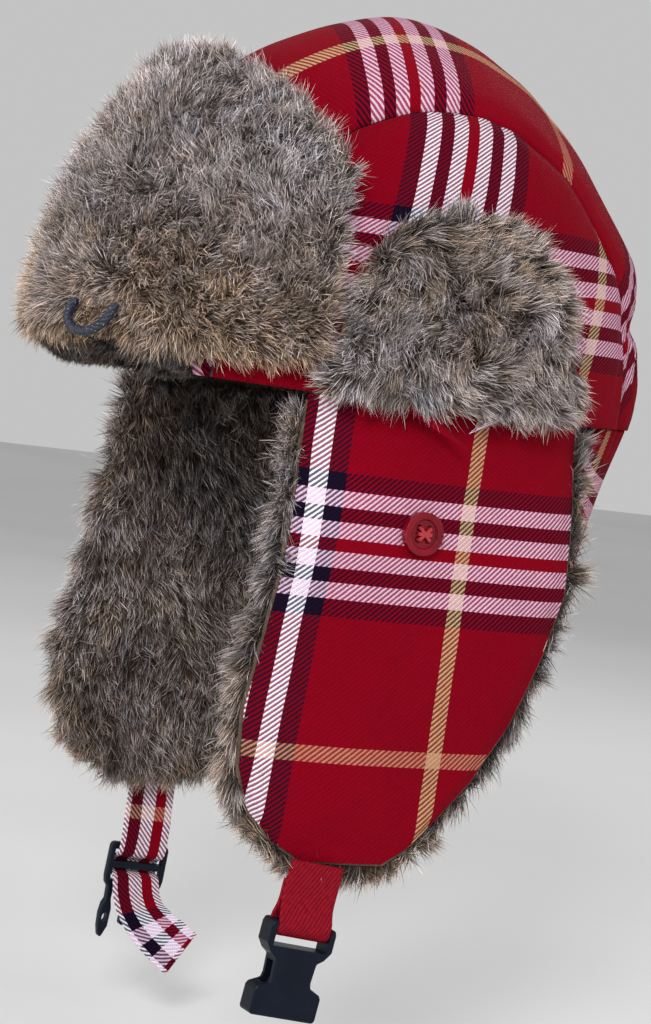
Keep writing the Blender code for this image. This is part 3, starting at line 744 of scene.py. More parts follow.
@dataclass(frozen=True)
class Fleece:
    """How the long hair grows on a hide."""

    strands: int
    length: float = 13 * MM
    spread: float = 0.26
    lift: float = 0.8
    comb: float = 0.75
    sag: float = 0.25
    width: float = 0.34 * MM
    lock_size: float = 5.0 * MM
    lock_pull: float = 0.55
    seed: int = 1

    def grow(self, name: str, hide: bpy.types.Object, comb: Callable[[np.ndarray], np.ndarray],
             keep: Callable[[np.ndarray, np.ndarray], np.ndarray],
             trim: Callable[[np.ndarray], np.ndarray] | None = None) -> bpy.types.Object:
        """Grow hair over the part of a hide that a test keeps.

        Args:
            name: The piece's name.
            hide: The mesh that carries the hair.
            comb: Gives the way the hair is combed at each point.
            keep: Says which faces carry hair, from their centres and normals.
            trim: Gives the share of the full length at each root.

        Returns:
            One mesh of narrow tapered hairs, with colour facts in the hair attribute.
        """
        rng = np.random.default_rng(self.seed)
        roots, normals = self.roots(hide, keep, rng)
        count = len(roots)
        comb_dir = comb(roots)
        comb_dir -= normals * np.sum(comb_dir * normals, axis=1, keepdims=True)
        comb_dir /= np.maximum(np.linalg.norm(comb_dir, axis=1, keepdims=True), 1e-6)
        lock = self.lock_numbers(roots)
        per_lock = rng.normal(size=(lock.max() + 1, 3))
        swirl = per_lock[lock]
        loose = rng.normal(size=(count, 3))
        first = normals * self.lift + comb_dir * self.comb * 0.5 + loose * self.spread * 0.6 + swirl * 0.22
        last = normals * self.lift * 0.55 + comb_dir * self.comb + loose * self.spread + swirl * 0.42
        last[:, 2] -= self.sag
        first /= np.linalg.norm(first, axis=1, keepdims=True)
        last /= np.linalg.norm(last, axis=1, keepdims=True)
        long_share = np.clip(rng.normal(0.86, 0.2, count), 0.35, 1.3)
        long_share *= 0.85 + 0.3 * rng.random(lock.max() + 1)[lock]
        if trim is not None:
            long_share *= trim(roots)
        reach = (self.length * long_share)[:, None]
        steps = np.array([0.0, 0.36, 0.70, 1.0])
        spine = [roots + reach * (first * (s - s * s / 2) + last * (s * s / 2)) for s in steps]
        sums = np.zeros((lock.max() + 1, 3))
        np.add.at(sums, lock, spine[-1])
        tips = sums / np.maximum(np.bincount(lock), 1)[:, None]
        pull = (tips[lock] - spine[-1]) * self.lock_pull * rng.random((count, 1))
        spine = [p + pull * s * s for p, s in zip(spine, steps)]
        across = np.cross(spine[2] - spine[0], rng.normal(size=(count, 3)))
        across /= np.maximum(np.linalg.norm(across, axis=1, keepdims=True), 1e-9)
        thick = self.width * (0.7 + 0.6 * rng.random((count, 1)))
        rows = []
        for p, share in zip(spine[:3], (1.0, 0.8, 0.5)):
            rows += [p - across * thick * share / 2, p + across * thick * share / 2]
        rows.append(spine[3])
        verts = np.stack(rows, axis=1).reshape(-1, 3)
        one = np.array([(0, 1, 3), (0, 3, 2), (2, 3, 5), (2, 5, 4), (4, 5, 6)])
        tris = (one[None] + 7 * np.arange(count)[:, None, None]).reshape(-1, 3)
        obj = triangle_mesh(name, verts, tris)
        facts = np.ones((count, 7, 4), np.float32)
        facts[:, :, 0] = np.array([0, 0, 0.36, 0.36, 0.7, 0.7, 1.0])
        facts[:, :, 1] = rng.random((count, 1)) ** 1.3
        facts[:, :, 2] = np.clip(
            rng.random(lock.max() + 1)[lock][:, None] + rng.normal(0, 0.12, (count, 1)), 0, 1)
        layer = obj.data.attributes.new(HAIR_NAME, "FLOAT_COLOR", "POINT")
        layer.data.foreach_set("color", facts.ravel())
        return obj

    def roots(self, hide: bpy.types.Object, keep: Callable[[np.ndarray, np.ndarray], np.ndarray],
              rng: np.random.Generator) -> tuple[np.ndarray, np.ndarray]:
        """Random roots spread evenly over the kept faces, and the face normals there."""
        mesh = hide.data
        mesh.calc_loop_triangles()
        points = np.zeros(len(mesh.vertices) * 3, np.float32)
        mesh.vertices.foreach_get("co", points)
        points = points.reshape(-1, 3).astype(float)
        tris = np.zeros(len(mesh.loop_triangles) * 3, np.int32)
        mesh.loop_triangles.foreach_get("vertices", tris)
        corner = points[tris.reshape(-1, 3)]
        normal = np.cross(corner[:, 1] - corner[:, 0], corner[:, 2] - corner[:, 0])
        area = np.linalg.norm(normal, axis=1)
        normal /= np.maximum(area, 1e-12)[:, None]
        chosen = keep(corner.mean(axis=1), normal) & (area > 0)
        corner, normal, area = corner[chosen], normal[chosen], area[chosen]
        pick = rng.choice(len(area), self.strands, p=area / area.sum())
        a, b = rng.random(self.strands), rng.random(self.strands)
        over = a + b > 1
        a[over], b[over] = 1 - a[over], 1 - b[over]
        c = corner[pick]
        root = c[:, 0] + (c[:, 1] - c[:, 0]) * a[:, None] + (c[:, 2] - c[:, 0]) * b[:, None]
        return root - normal[pick] * 0.4 * MM, normal[pick].copy()

    def lock_numbers(self, roots: np.ndarray) -> np.ndarray:
        """Number of the lock that each root belongs to, from uneven cells about lock_size wide."""
        warp = roots + 0.9 * MM * np.sin(roots[:, [1, 2, 0]] * 2 * math.pi / (11 * MM))
        cells = np.floor(warp / self.lock_size).astype(np.int64)
        _, lock = np.unique(cells @ np.array([1, 4099, 16785407]), return_inverse=True)
        return lock.ravel()


# ---------------------------------------------------------------- sub-assemblies


@dataclass
class Crown:
    """Top gore, side panels, lining and the elastic that gathers the nape."""

    wall: float = 1.8 * MM
    seam_gap: float = 0.3 * MM
    seam_sink: float = 2.3 * MM
    seam_reach: float = 4.5 * MM
    gore_tan_x: float = 28 * MM
    gore_stripe_y: float = -8 * MM
    gore_skew: float = 0.2
    side_skew: float = 0.27
    side_skew_from: float = 74 * MM
    stripe_y: float = -6 * MM
    stripe_z: float = 44 * MM
    elastic_turn: float = math.radians(56)
    elastic_width: float = 13 * MM

    def sunk(self, lat: float, lon: float, from_seam: float) -> Vector:
        """Cloth point, drawn in towards the seam line."""
        pucker = 1 + 0.35 * noise.noise(CROWN.point(lat, lon) * 110)
        pull = -self.seam_sink * pucker * math.exp(-(from_seam / self.seam_reach) ** 2 * 2.2)
        return CROWN.point(lat, lon, CROWN.slack(lat, lon) + pull)

    def side_place(self, side: Side) -> tuple[Place, Place]:
        """Placement and cloth functions of a side panel."""
        top_x = CROWN.gore_half + self.seam_gap / 2
        end_y = CROWN.half_length * math.sqrt(1 - (top_x / CROWN.half_width) ** 2) - 0.4 * MM

        def lats(u: float, v: float) -> tuple[float, float, float]:
            """Height along the panel and the two latitudes it runs between."""
            y = -end_y * math.cos(math.pi * u)
            need = math.sqrt((top_x / CROWN.half_width) ** 2 + (y / CROWN.half_length) ** 2)
            top = math.acos(min(1.0, need) ** (1 / CROWN.round_power))
            return y, top * v, top

        def place(u: float, v: float) -> Vector:
            """Point of the side panel in space."""
            y, lat, _ = lats(u, v)
            lon = CROWN.lon_at(y, lat)
            spot = CROWN.point(lat, lon)
            from_seam = math.hypot(spot.x - top_x, 0.0)
            return self.sunk(lat, side.value * lon, from_seam)

        def cloth(u: float, v: float) -> Vector:
            """Point of the side panel on the flat cloth."""
            y, lat, _ = lats(u, v)
            rise = 0.0
            last = CROWN.point(0, CROWN.lon_at(y, 0))
            for i in range(1, 9):
                here = CROWN.point(lat * i / 8, CROWN.lon_at(y, lat * i / 8))
                rise += (here - last).length
                last = here
            return Vector((y - self.side_skew * (rise - self.side_skew_from), rise, 0))

        return place, cloth

    def gore_place(self) -> tuple[Place, Place]:
        """Placement and cloth functions of the top gore."""
        half = CROWN.gore_half - self.seam_gap / 2

        def spot(u: float, v: float) -> tuple[float, float, float]:
            """Offset across the gore with its latitude and turn."""
            x = (2 * u - 1) * half
            turn = (v - 0.5) * math.pi
            edge = math.sqrt(max(0.0, 1 - (x / CROWN.half_width) ** 2))
            y = CROWN.half_length * edge * math.sin(turn)
            need = min(1.0, math.sqrt((x / CROWN.half_width) ** 2 + (y / CROWN.half_length) ** 2))
            lat = math.acos(need ** (1 / CROWN.round_power))
            lon = math.atan2(x / CROWN.half_width, -y / CROWN.half_length)
            return x, lat, lon

        def place(u: float, v: float) -> Vector:
            """Point of the gore in space."""
            x, lat, lon = spot(u, v)
            return self.sunk(lat, lon, half - abs(x))

        def cloth(u: float, v: float) -> Vector:
            """Point of the gore on the flat cloth."""
            x, lat, lon = spot(u, v)
            run, last = 0.0, CROWN.point(*spot(u, 0.5)[1:])
            for i in range(1, 9):
                here = CROWN.point(*spot(u, 0.5 + (v - 0.5) * i / 8)[1:])
                run += (here - last).length
                last = here
            return Vector((x, math.copysign(run, v - 0.5) + self.gore_skew * x, 0))

        return place, cloth

    def build(self, mats: dict[str, bpy.types.Material]) -> None:
        """Model and dress the crown."""
        for side in Side:
            place, cloth = self.side_place(side)
            obj = panel(f"side_panel_{side.label}", 110, 70, place, cloth)
            thicken(obj, self.wall, 0.0, False)
            dress(obj, mats["side_cloth"])
            finish_piece(obj, "crown", "plaid_twill", f"crown_side_{side.label}")
        place, cloth = self.gore_place()
        gore = thicken(panel("top_gore", 60, 150, place, cloth), self.wall, 0.0, False)
        dress(gore, mats["gore_cloth"])
        finish_piece(gore, "crown", "plaid_twill", "crown_top_gore")

        def lining_place(u: float, v: float) -> Vector:
            """Point of the lining, which follows the gathered nape."""
            lat, lon = v * 0.4999 * math.pi, (u - 0.5) * 2 * math.pi
            ripple = 0.4 * MM * math.sin(lon * 40) * (1 - v)
            return CROWN.point(lat, lon, -5.2 * MM + ripple + 0.9 * CROWN.slack(lat, lon))

        lining = panel("satin_lining", 160, 48, lining_place)
        make_active(lining)
        bpy.ops.object.mode_set(mode="EDIT")
        bpy.ops.mesh.select_all(action="SELECT")
        bpy.ops.mesh.remove_doubles(threshold=0.05 * MM)
        bpy.ops.object.mode_set(mode="OBJECT")
        thicken(lining, 0.8 * MM)
        dress(lining, mats["satin"])
        finish_piece(lining, "crown", "lining_satin", "crown_lining")

        def elastic_place(u: float, v: float) -> Vector:
            """Point of the elastic, which follows the gathered nape."""
            lon = math.pi + (2 * u - 1) * self.elastic_turn
            lat = CROWN.lat_at(CROWN.elastic_z + (v - 0.5) * self.elastic_width)
            return CROWN.point(lat, lon, -2.9 * MM + CROWN.slack(lat, lon))

        elastic = thicken(panel("elastic", 150, 10, elastic_place), 0.8 * MM)
        dress(elastic, mats["elastic"])
        finish_piece(elastic, "crown", "elastic_band", "nape_elastic")


def finish_piece(obj: bpy.types.Object, body: str, slot: str, *nodes: str) -> None:
    """Ride a piece on its body, hide the nodes that it stands for, and report it."""
    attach(obj, body)
    if nodes:
        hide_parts(*nodes)
    LOG.info("%s: %d faces on %s", obj.name, len(obj.data.polygons), body)


@dataclass
class Brim:
    """The folded-up brim: plaid backing, hide, the strip at its fold and long hair, cut shorter where the
    cord loop lies.
    """

    span: float = math.radians(60)
    low: float = 7 * MM
    top: float = 107 * MM
    end_top: float = 80 * MM
    back_off: float = 5.0 * MM
    hide_off: float = 12.6 * MM
    hide_depth: float = 5.5 * MM
    fold_span: float = math.radians(36)
    fold_in: float = -3.5 * MM
    fold_low: float = 0.5 * MM
    cut: tuple[float, float] = (220 * MM, 104 * MM)
    cut_area: float = 0.0192

    def place(self, off: float, grow: float = 0.0) -> Place:
        """Placement function of a brim layer that lies off the crown."""

        def put(u: float, v: float) -> Vector:
            """Point of the brim layer in space."""
            side = 2 * u - 1
            top = self.top + (self.end_top - self.top) * abs(side) ** 3 + grow
            low = self.low - grow * 0.5
            corner = 1 - 0.16 * abs(side) ** 8
            z = (top + low) / 2 + (v - 0.5) * (top - low) * corner
            puff = 2.2 * MM * noise.noise(Vector((side * 2.6, z * 22, 3.1)))
            return CROWN.point(CROWN.lat_at(z), side * self.span, off + puff)

        return put

    def build(self, mats: dict[str, bpy.types.Material]) -> None:
        """Model and dress the brim."""
        shell = panel("brim_backing", 90, 50, self.place(self.back_off),
                      lambda u, v: Vector(((u - 0.5) * 220 * MM, v * 125 * MM, 0)))
        thicken(shell, 1.6 * MM, 0.5 * MM)
        dress(shell, mats["flap_cloth"])
        finish_piece(shell, "front_brim", "plaid_twill", "front_brim_shell")
        hide = thicken(panel("brim_hide", 60, 34, self.place(self.hide_off, -5 * MM)),
                       self.hide_depth, 4 * MM, False)
        dress(hide, mats["hide"])
        finish_piece(hide, "front_brim", "brim_fur", "front_brim_fur")

        def fold_place(u: float, v: float) -> Vector:
            """Point of the strip that closes the fold under the brim: the fur turning in at the fold,
            dressed near black as painted shade.
            """
            lon = (2 * u - 1) * self.fold_span
            off = self.fold_in + (self.hide_off - 3 * MM - self.fold_in) * v
            return CROWN.point(0, lon, off) + Vector((0, 0, self.fold_low + 8.5 * MM * v * v))

        # painted shade: the fold strip and its short hair are near black for the shadow under the brim, and
        # hide the crown's red edge from below
        fold = thicken(panel("brim_fold", 70, 14, fold_place), 1.2 * MM)
        dress(fold, mats["shade_hide"])
        under = Fleece(14000, length=5 * MM, lift=0.7, seed=91).grow(
            "brim_fold_fur", fold,
            lambda p: np.stack([0 * p[:, 0], -0.4 + 0 * p[:, 0], -0.8 + 0 * p[:, 0]], axis=1),
            lambda centre, normal: normal[:, 2] < 0.3)
        dress(under, mats["shade_fur"])
        finish_piece(under, "front_brim", "brim_fur")
        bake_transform(fold)

        def comb(p: np.ndarray) -> np.ndarray:
            """Way the brim's hair lies at each root."""
            down = np.clip((24 * MM - p[:, 2]) / (16 * MM), -1, 1)
            way = np.stack([0.3 * np.sign(p[:, 0]), 0.25 + 0 * p[:, 0], -1.0 * down], axis=1)
            way += 0.6 * np.stack([np.sin(p[:, 1] * 85 + p[:, 2] * 95), np.cos(p[:, 0] * 80 + p[:, 2] * 60),
                                   0.6 * np.sin(p[:, 0] * 70 + 2)], axis=1)
            return way

        def keep(centre: np.ndarray, normal: np.ndarray) -> np.ndarray:
            """True where the hide faces out of the fold."""
            out = centre[:, :2] / np.maximum(np.linalg.norm(centre[:, :2], axis=1, keepdims=True), 1e-9)
            facing = np.sum(out * normal[:, :2], axis=1)
            return facing > -0.35

        def trim(p: np.ndarray) -> np.ndarray:
            """Share of the full length, shorter where the loop lies."""
            loop = BrimLoop()
            middle = CROWN.point(0, loop.lon, self.hide_off)
            aside = np.hypot(p[:, 0] - middle.x, p[:, 1] - middle.y)
            near = np.exp(-((aside / (13 * MM)) ** 4 + ((p[:, 2] - 15 * MM) / (9 * MM)) ** 4))
            return 1 - 0.6 * near

        for i in range(3):
            coat = Fleece(39500, length=10.5 * MM, lift=0.62, seed=11 + i).grow(
                f"brim_fur_{'abc'[i]}", hide, comb, keep, trim)
            dress(coat, mats["brim_fur"])
            finish_piece(coat, "front_brim", "brim_fur")


@dataclass
class EarFlap:
    """A hanging ear flap: plaid face, and hide and hair on its inner side."""

    side: Side
    outline: tuple[tuple[float, float, float], ...] = (
        (0, -55, 52), (-15, -55, 53), (-30, -56, 54), (-60, -59, 53), (-82, -62, 47), (-108, -66, 36),
        (-128, -65, 24), (-142, -60, 12), (-152, -50, 2), (-158, -38, -8),
    )
    top: float = -0.7 * MM
    low: float = -158 * MM
    flat_x: float = 87 * MM
    stripe_y: float = -64.5 * MM
    stripe_z: float = -50 * MM
    hinge_reach: float = 12 * MM
    middle_y: float = -8 * MM
    cut: tuple[float, float] = (120 * MM, 158 * MM)
    cut_area: float = 0.0162

    def edges(self, z: float) -> tuple[float, float]:
        """Front and rear edge of the plaid face at a height."""
        rows = np.array(self.outline[::-1]) * MM
        return float(np.interp(z, rows[:, 0], rows[:, 1])), float(np.interp(z, rows[:, 0], rows[:, 2]))

    def spot(self, u: float, v: float, reach: float, reach_low: float, top: float) -> tuple[float, float]:
        """(y, z) of a layer for (u, v)."""
        low = self.low - reach_low
        z = low + v ** 0.8 * (top - low)
        front, rear = self.edges(max(z, self.low))
        out = reach * min(1.0, -z / (20 * MM))
        return front - out + u * (rear - front + 2 * out), z

    def face_x(self, y: float, z: float) -> float:
        """Distance of the plaid face from the middle of the hat."""
        hang = smooth(0, 70 * MM, -z)
        curved = CROWN.half_x(y)
        flat = self.flat_x - 0.25 * (self.flat_x - curved)
        return curved + hang * (flat - curved)

    def layer(self, off: float, reach: float, reach_low: float, top: float, roll: float = 0.0) -> Place:
        """Placement function of a layer that lies inwards of the plaid face by off."""

        def put(u: float, v: float) -> Vector:
            """Point of the flap layer in space."""
            y, z = self.spot(u, v, reach, reach_low, top)
            rim = min(u, 1 - u) * 110 * MM
            rim = min(rim, v * 150 * MM)
            turn_in = roll * math.exp(-(rim / (5 * MM)) ** 2)
            at = Vector((y * 26, z * 26, 7.7 * self.side.value))
            wave = 1.5 * MM * noise.noise(at) + 0.5 * MM * noise.noise(at * 2.7)
            x = self.face_x(y, z) - off - turn_in + wave * smooth(0, 20 * MM, -z)
            return Vector((self.side.value * x, y, z))

        return put

    def build(self, mats: dict[str, bpy.types.Material]) -> None:
        """Model and dress the flap."""
        body, label = f"ear_flap_{self.side.label}", self.side.label

        def cloth(u: float, v: float) -> Vector:
            """Point of the flap on the flat cloth."""
            y, z = self.spot(u, v, 0, 0, self.top)
            pivot = 6.5 * MM
            widen = 1 + 0.17 * smooth(0, 150 * MM, -z) * (1 if y < pivot else 0)
            return Vector((pivot + (y - pivot) / widen, z, 0))

        shell = panel(f"flap_face_{label}", 84, 110, self.layer(0, 0, 0, self.top, 2.2 * MM), cloth)
        thicken(shell, 1.6 * MM, 0.6 * MM)
        dress(shell, mats["flap_cloth"])
        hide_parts(f"ear_flap_shell_{label}")
        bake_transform(shell)
        place = self.layer(3.0 * MM, 1.2 * MM, 0.8 * MM, -3 * MM)
        hide = thicken(panel(f"flap_hide_{label}", 40, 56, place), 5.5 * MM, 2.5 * MM, False)
        dress(hide, mats["hide"])
        finish_piece(hide, body, "lining_fur", f"ear_flap_fur_{label}")
        sign = self.side.value

        def comb(p: np.ndarray) -> np.ndarray:
            """Way the lining's hair lies at each root."""
            away = np.clip((p[:, 1] + 8 * MM) / (60 * MM), -1, 1)
            way = np.stack([0 * away, away * 0.7, -0.9 + 0 * away], axis=1)
            way += 0.4 * np.stack([0 * away, np.sin(p[:, 2] * 110 + p[:, 1] * 50),
                                   np.cos(p[:, 1] * 80)], axis=1)
            return way

        def keep(centre: np.ndarray, normal: np.ndarray) -> np.ndarray:
            """True on the side towards the head, below the seam."""
            return (normal[:, 0] * sign < 0.2) & (centre[:, 2] < -3.5 * MM)

        def fringe_comb(p: np.ndarray) -> np.ndarray:
            """Way the hair at the flap's edge fans out."""
            way = np.stack([-0.25 * sign + 0 * p[:, 0], (p[:, 1] - self.middle_y) * 22,
                            (p[:, 2] + 70 * MM) * 9 - 0.35], axis=1)
            way += 0.3 * np.stack([0 * p[:, 0], np.sin(p[:, 2] * 260), np.cos(p[:, 1] * 240)], axis=1)
            return way

        def rim(centre: np.ndarray, normal: np.ndarray) -> np.ndarray:
            """True along the flap's edge."""
            return (abs(normal[:, 0]) < 0.85) & (normal[:, 2] < 0.5) & (centre[:, 2] < -8 * MM)

        coats = ((Fleece(20000, length=10.5 * MM, comb=0.9, lift=0.6, sag=0.15,
                         seed=31 + 7 * sign), comb, keep),
                 (Fleece(20000, length=11.5 * MM, comb=0.9, lift=0.6, sag=0.15,
                         seed=32 + 7 * sign), comb, keep),
                 (Fleece(20000, length=12 * MM, comb=0.8, lift=0.5, sag=0.1, seed=33 + 7 * sign),
                  fringe_comb, rim))
        for i, (coat, way, where) in enumerate(coats):
            hair = coat.grow(f"flap_fur_{label}_{'abc'[i]}", hide, way, where)
            dress(hair, mats["flap_fur"])
            finish_piece(hair, body, "lining_fur")


@dataclass
class EarCover:
    """Half-round fur cover folded up against the crown."""

    side: Side
    front: float = -54 * MM
    rear: float = 41 * MM
    low: float = 4 * MM
    top: float = 64 * MM
    cut: tuple[float, float] = (98 * MM, 79 * MM)
    cut_area: float = 0.0060

    def layer(self, off: float, grow: float = 0.0, trim: float = 0.0) -> Place:
        """Placement function of a layer that lies off the crown."""

        def put(u: float, v: float) -> Vector:
            """Point of the cover layer in space."""
            t = 2 * u - 1
            mid, half = (self.front + self.rear) / 2, (self.rear - self.front) / 2 - trim
            arch = (1 - min(1.0, abs(t)) ** 2.6) ** 0.62
            y = mid + t * half * (1 - 0.10 * v * abs(t) ** 3)
            high = self.low + 10 * MM + (self.top + grow - self.low - 10 * MM) * arch
            z = self.low + v * (high - self.low)
            lat = CROWN.lat_at(z)
            return CROWN.point(lat, self.side.value * CROWN.lon_at(y, lat), off)

        return put

    def build(self, mats: dict[str, bpy.types.Material]) -> None:
        """Model and dress the cover."""
        body, label = f"ear_cover_{self.side.label}", self.side.label
        shell = panel(f"cover_backing_{label}", 50, 30, self.layer(3.4 * MM),
                      lambda u, v: Vector((u * 95 * MM, v * 70 * MM, 0)))
        thicken(shell, 1.5 * MM, 0.4 * MM)
        dress(shell, mats["flap_cloth"])
        finish_piece(shell, body, "plaid_twill", f"ear_cover_shell_{label}")
        hide = thicken(panel(f"cover_hide_{label}", 40, 26, self.layer(9.5 * MM, -5 * MM, 5 * MM)),
                       4.5 * MM, 2 * MM, False)
        dress(hide, mats["hide"])
        finish_piece(hide, body, "brim_fur", f"ear_cover_fur_{label}")
        sign = self.side.value

        def comb(p: np.ndarray) -> np.ndarray:
            """Way the cover's hair lies at each root."""
            mid = (self.front + self.rear) / 2
            way = np.stack([0 * p[:, 0], (p[:, 1] - mid) * 14, (p[:, 2] - 34 * MM) * 20], axis=1)
            way += 0.55 * np.stack([0 * p[:, 0], np.sin(p[:, 2] * 130 + 1), np.cos(p[:, 1] * 110)], axis=1)
            return way

        def keep(centre: np.ndarray, normal: np.ndarray) -> np.ndarray:
            """True on the side away from the crown."""
            return normal[:, 0] * sign > -0.4

        coat = Fleece(39000, length=11.5 * MM, comb=0.75, lift=0.62, seed=51 + sign)
        hair = coat.grow(f"cover_fur_{label}", hide, comb, keep)
        dress(hair, mats["cover_fur"])
        finish_piece(hair, body, "brim_fur")


@dataclass
class NeckFlap:
    """Short flap behind the neck."""

    start: float = math.radians(131)
    drop: float = 58 * MM
    taper: float = 0.9
    inset: float = -3.5 * MM
    cut: tuple[float, float] = (160 * MM, 58 * MM)
    cut_area: float = 0.0084

    def layer(self, off: float, top: float, puff: float = 0.0) -> Place:
        """Placement function of a layer that lies off the neck line."""

        def put(u: float, v: float) -> Vector:
            """Point of the neck flap layer in space."""
            lon = self.start + u * 2 * (math.pi - self.start)
            down = 1 - v
            inset = 1 - (1 - self.taper) * down
            corner = 1 - 0.45 * abs(2 * u - 1) ** 6
            fold = puff * (1.0 * MM * math.sin(lon * 70) * math.exp(-down * 4)
                           + 2.0 * MM * math.exp(-(down * 3.2) ** 2))
            fade = 1 - abs(2 * u - 1) ** 4
            point = CROWN.point(0, lon, off + self.inset + fold * fade)
            return Vector((point.x * inset, point.y * inset, top - (self.drop + top) * corner * down))

        return put

    def build(self, mats: dict[str, bpy.types.Material]) -> None:
        """Model and dress the flap."""
        shell = panel("neck_face", 120, 44, self.layer(0, -0.3 * MM, 1.0),
                      lambda u, v: Vector(((u - 0.5) * 160 * MM, v * 58 * MM, 0)))
        thicken(shell, 1.6 * MM, 0.5 * MM, False)
        dress(shell, mats["neck_cloth"])
        finish_piece(shell, "crown", "plaid_twill", "neck_flap_shell")
        hide = thicken(panel("neck_hide", 50, 20, self.layer(-4.2 * MM, -3 * MM)), 6 * MM, 2.5 * MM, False)
        dress(hide, mats["hide"])
        finish_piece(hide, "crown", "lining_fur", "neck_flap_fur")

        def comb(p: np.ndarray) -> np.ndarray:
            """Way the neck lining's hair lies at each root."""
            return np.stack([p[:, 0] * 5, 0 * p[:, 0], -1 + 0 * p[:, 0]], axis=1)

        def keep(centre: np.ndarray, normal: np.ndarray) -> np.ndarray:
            """True on the side towards the neck."""
            out = centre[:, :2] / np.maximum(np.linalg.norm(centre[:, :2], axis=1, keepdims=True), 1e-9)
            return (np.sum(out * normal[:, :2], axis=1) < 0.4) & (centre[:, 2] < -5 * MM)

        hair = Fleece(22000, length=11 * MM, comb=0.9, lift=0.6, seed=71).grow("neck_fur", hide, comb, keep)
        dress(hair, mats["flap_fur"])
        finish_piece(hair, "crown", "lining_fur")


@dataclass
class Ribbon:
    """A flat woven strap that follows a path of (centre, across) stations."""

    name: str
    width: float
    thickness: float
    turn: Matrix
    hangs_from: str
    steps: int = 160
    cols: int = 16

    def build(self, stations: Sequence[tuple[Vector, Vector]], middle: float = 0.0,
              start: float = 0.0) -> bpy.types.Object:
        """Model the strap.

        Args:
            stations: Points of the path with the direction across the strap.
            middle: Cloth coordinate across, at the strap's centre line.
            start: Cloth coordinate along, at the strap's root.

        Returns:
            The strap with its cloth coordinates.
        """
        points = np.array([c for c, _ in stations])
        across = np.array([a for _, a in stations])
        run = np.concatenate([[0], np.cumsum(np.linalg.norm(np.diff(points, axis=0), axis=1))])
        total = run[-1]

        def at(v: float) -> tuple[Vector, Vector]:
            """Centre of the strap and its direction across, softened over a short run."""
            spots = [min(total, max(0.0, v * total + d * 1.3 * MM)) for d in (-1, -0.5, 0, 0.5, 1)]
            centre = np.mean([[np.interp(r, run, points[:, k]) for k in range(3)] for r in spots], axis=0)
            side = np.mean([[np.interp(r, run, across[:, k]) for k in range(3)] for r in spots], axis=0)
            return Vector(centre), Vector(side).normalized()

        def place(u: float, v: float) -> Vector:
            """Point of the strap in space."""
            centre, side = at(v)
            wave = 0.25 * MM * noise.noise(Vector((u * 3, v * total * 90, 2.2)))
            return self.turn @ (centre + side * ((u - 0.5) * self.width + wave))

        def cloth(u: float, v: float) -> Vector:
            """Point of the strap on the flat cloth."""
            return Vector((middle + (u - 0.5) * self.width, start + v * total, 0))

        strap = panel(self.name, self.cols, self.steps, place, cloth)
        wall = strap.modifiers.new("Wall", "SOLIDIFY")
        wall.thickness = self.thickness
        wall.offset = 0
        wall.use_even_offset = True
        rim = strap.modifiers.new("Rim", "BEVEL")
        rim.width = 0.35 * MM
        rim.segments = 2
        rim.angle_limit = math.radians(60)
        apply_all(strap)
        make_active(strap)
        bpy.ops.object.shade_smooth()
        LOG.info("%s: %.0f mm of strap", self.name, total * 1000)
        return strap


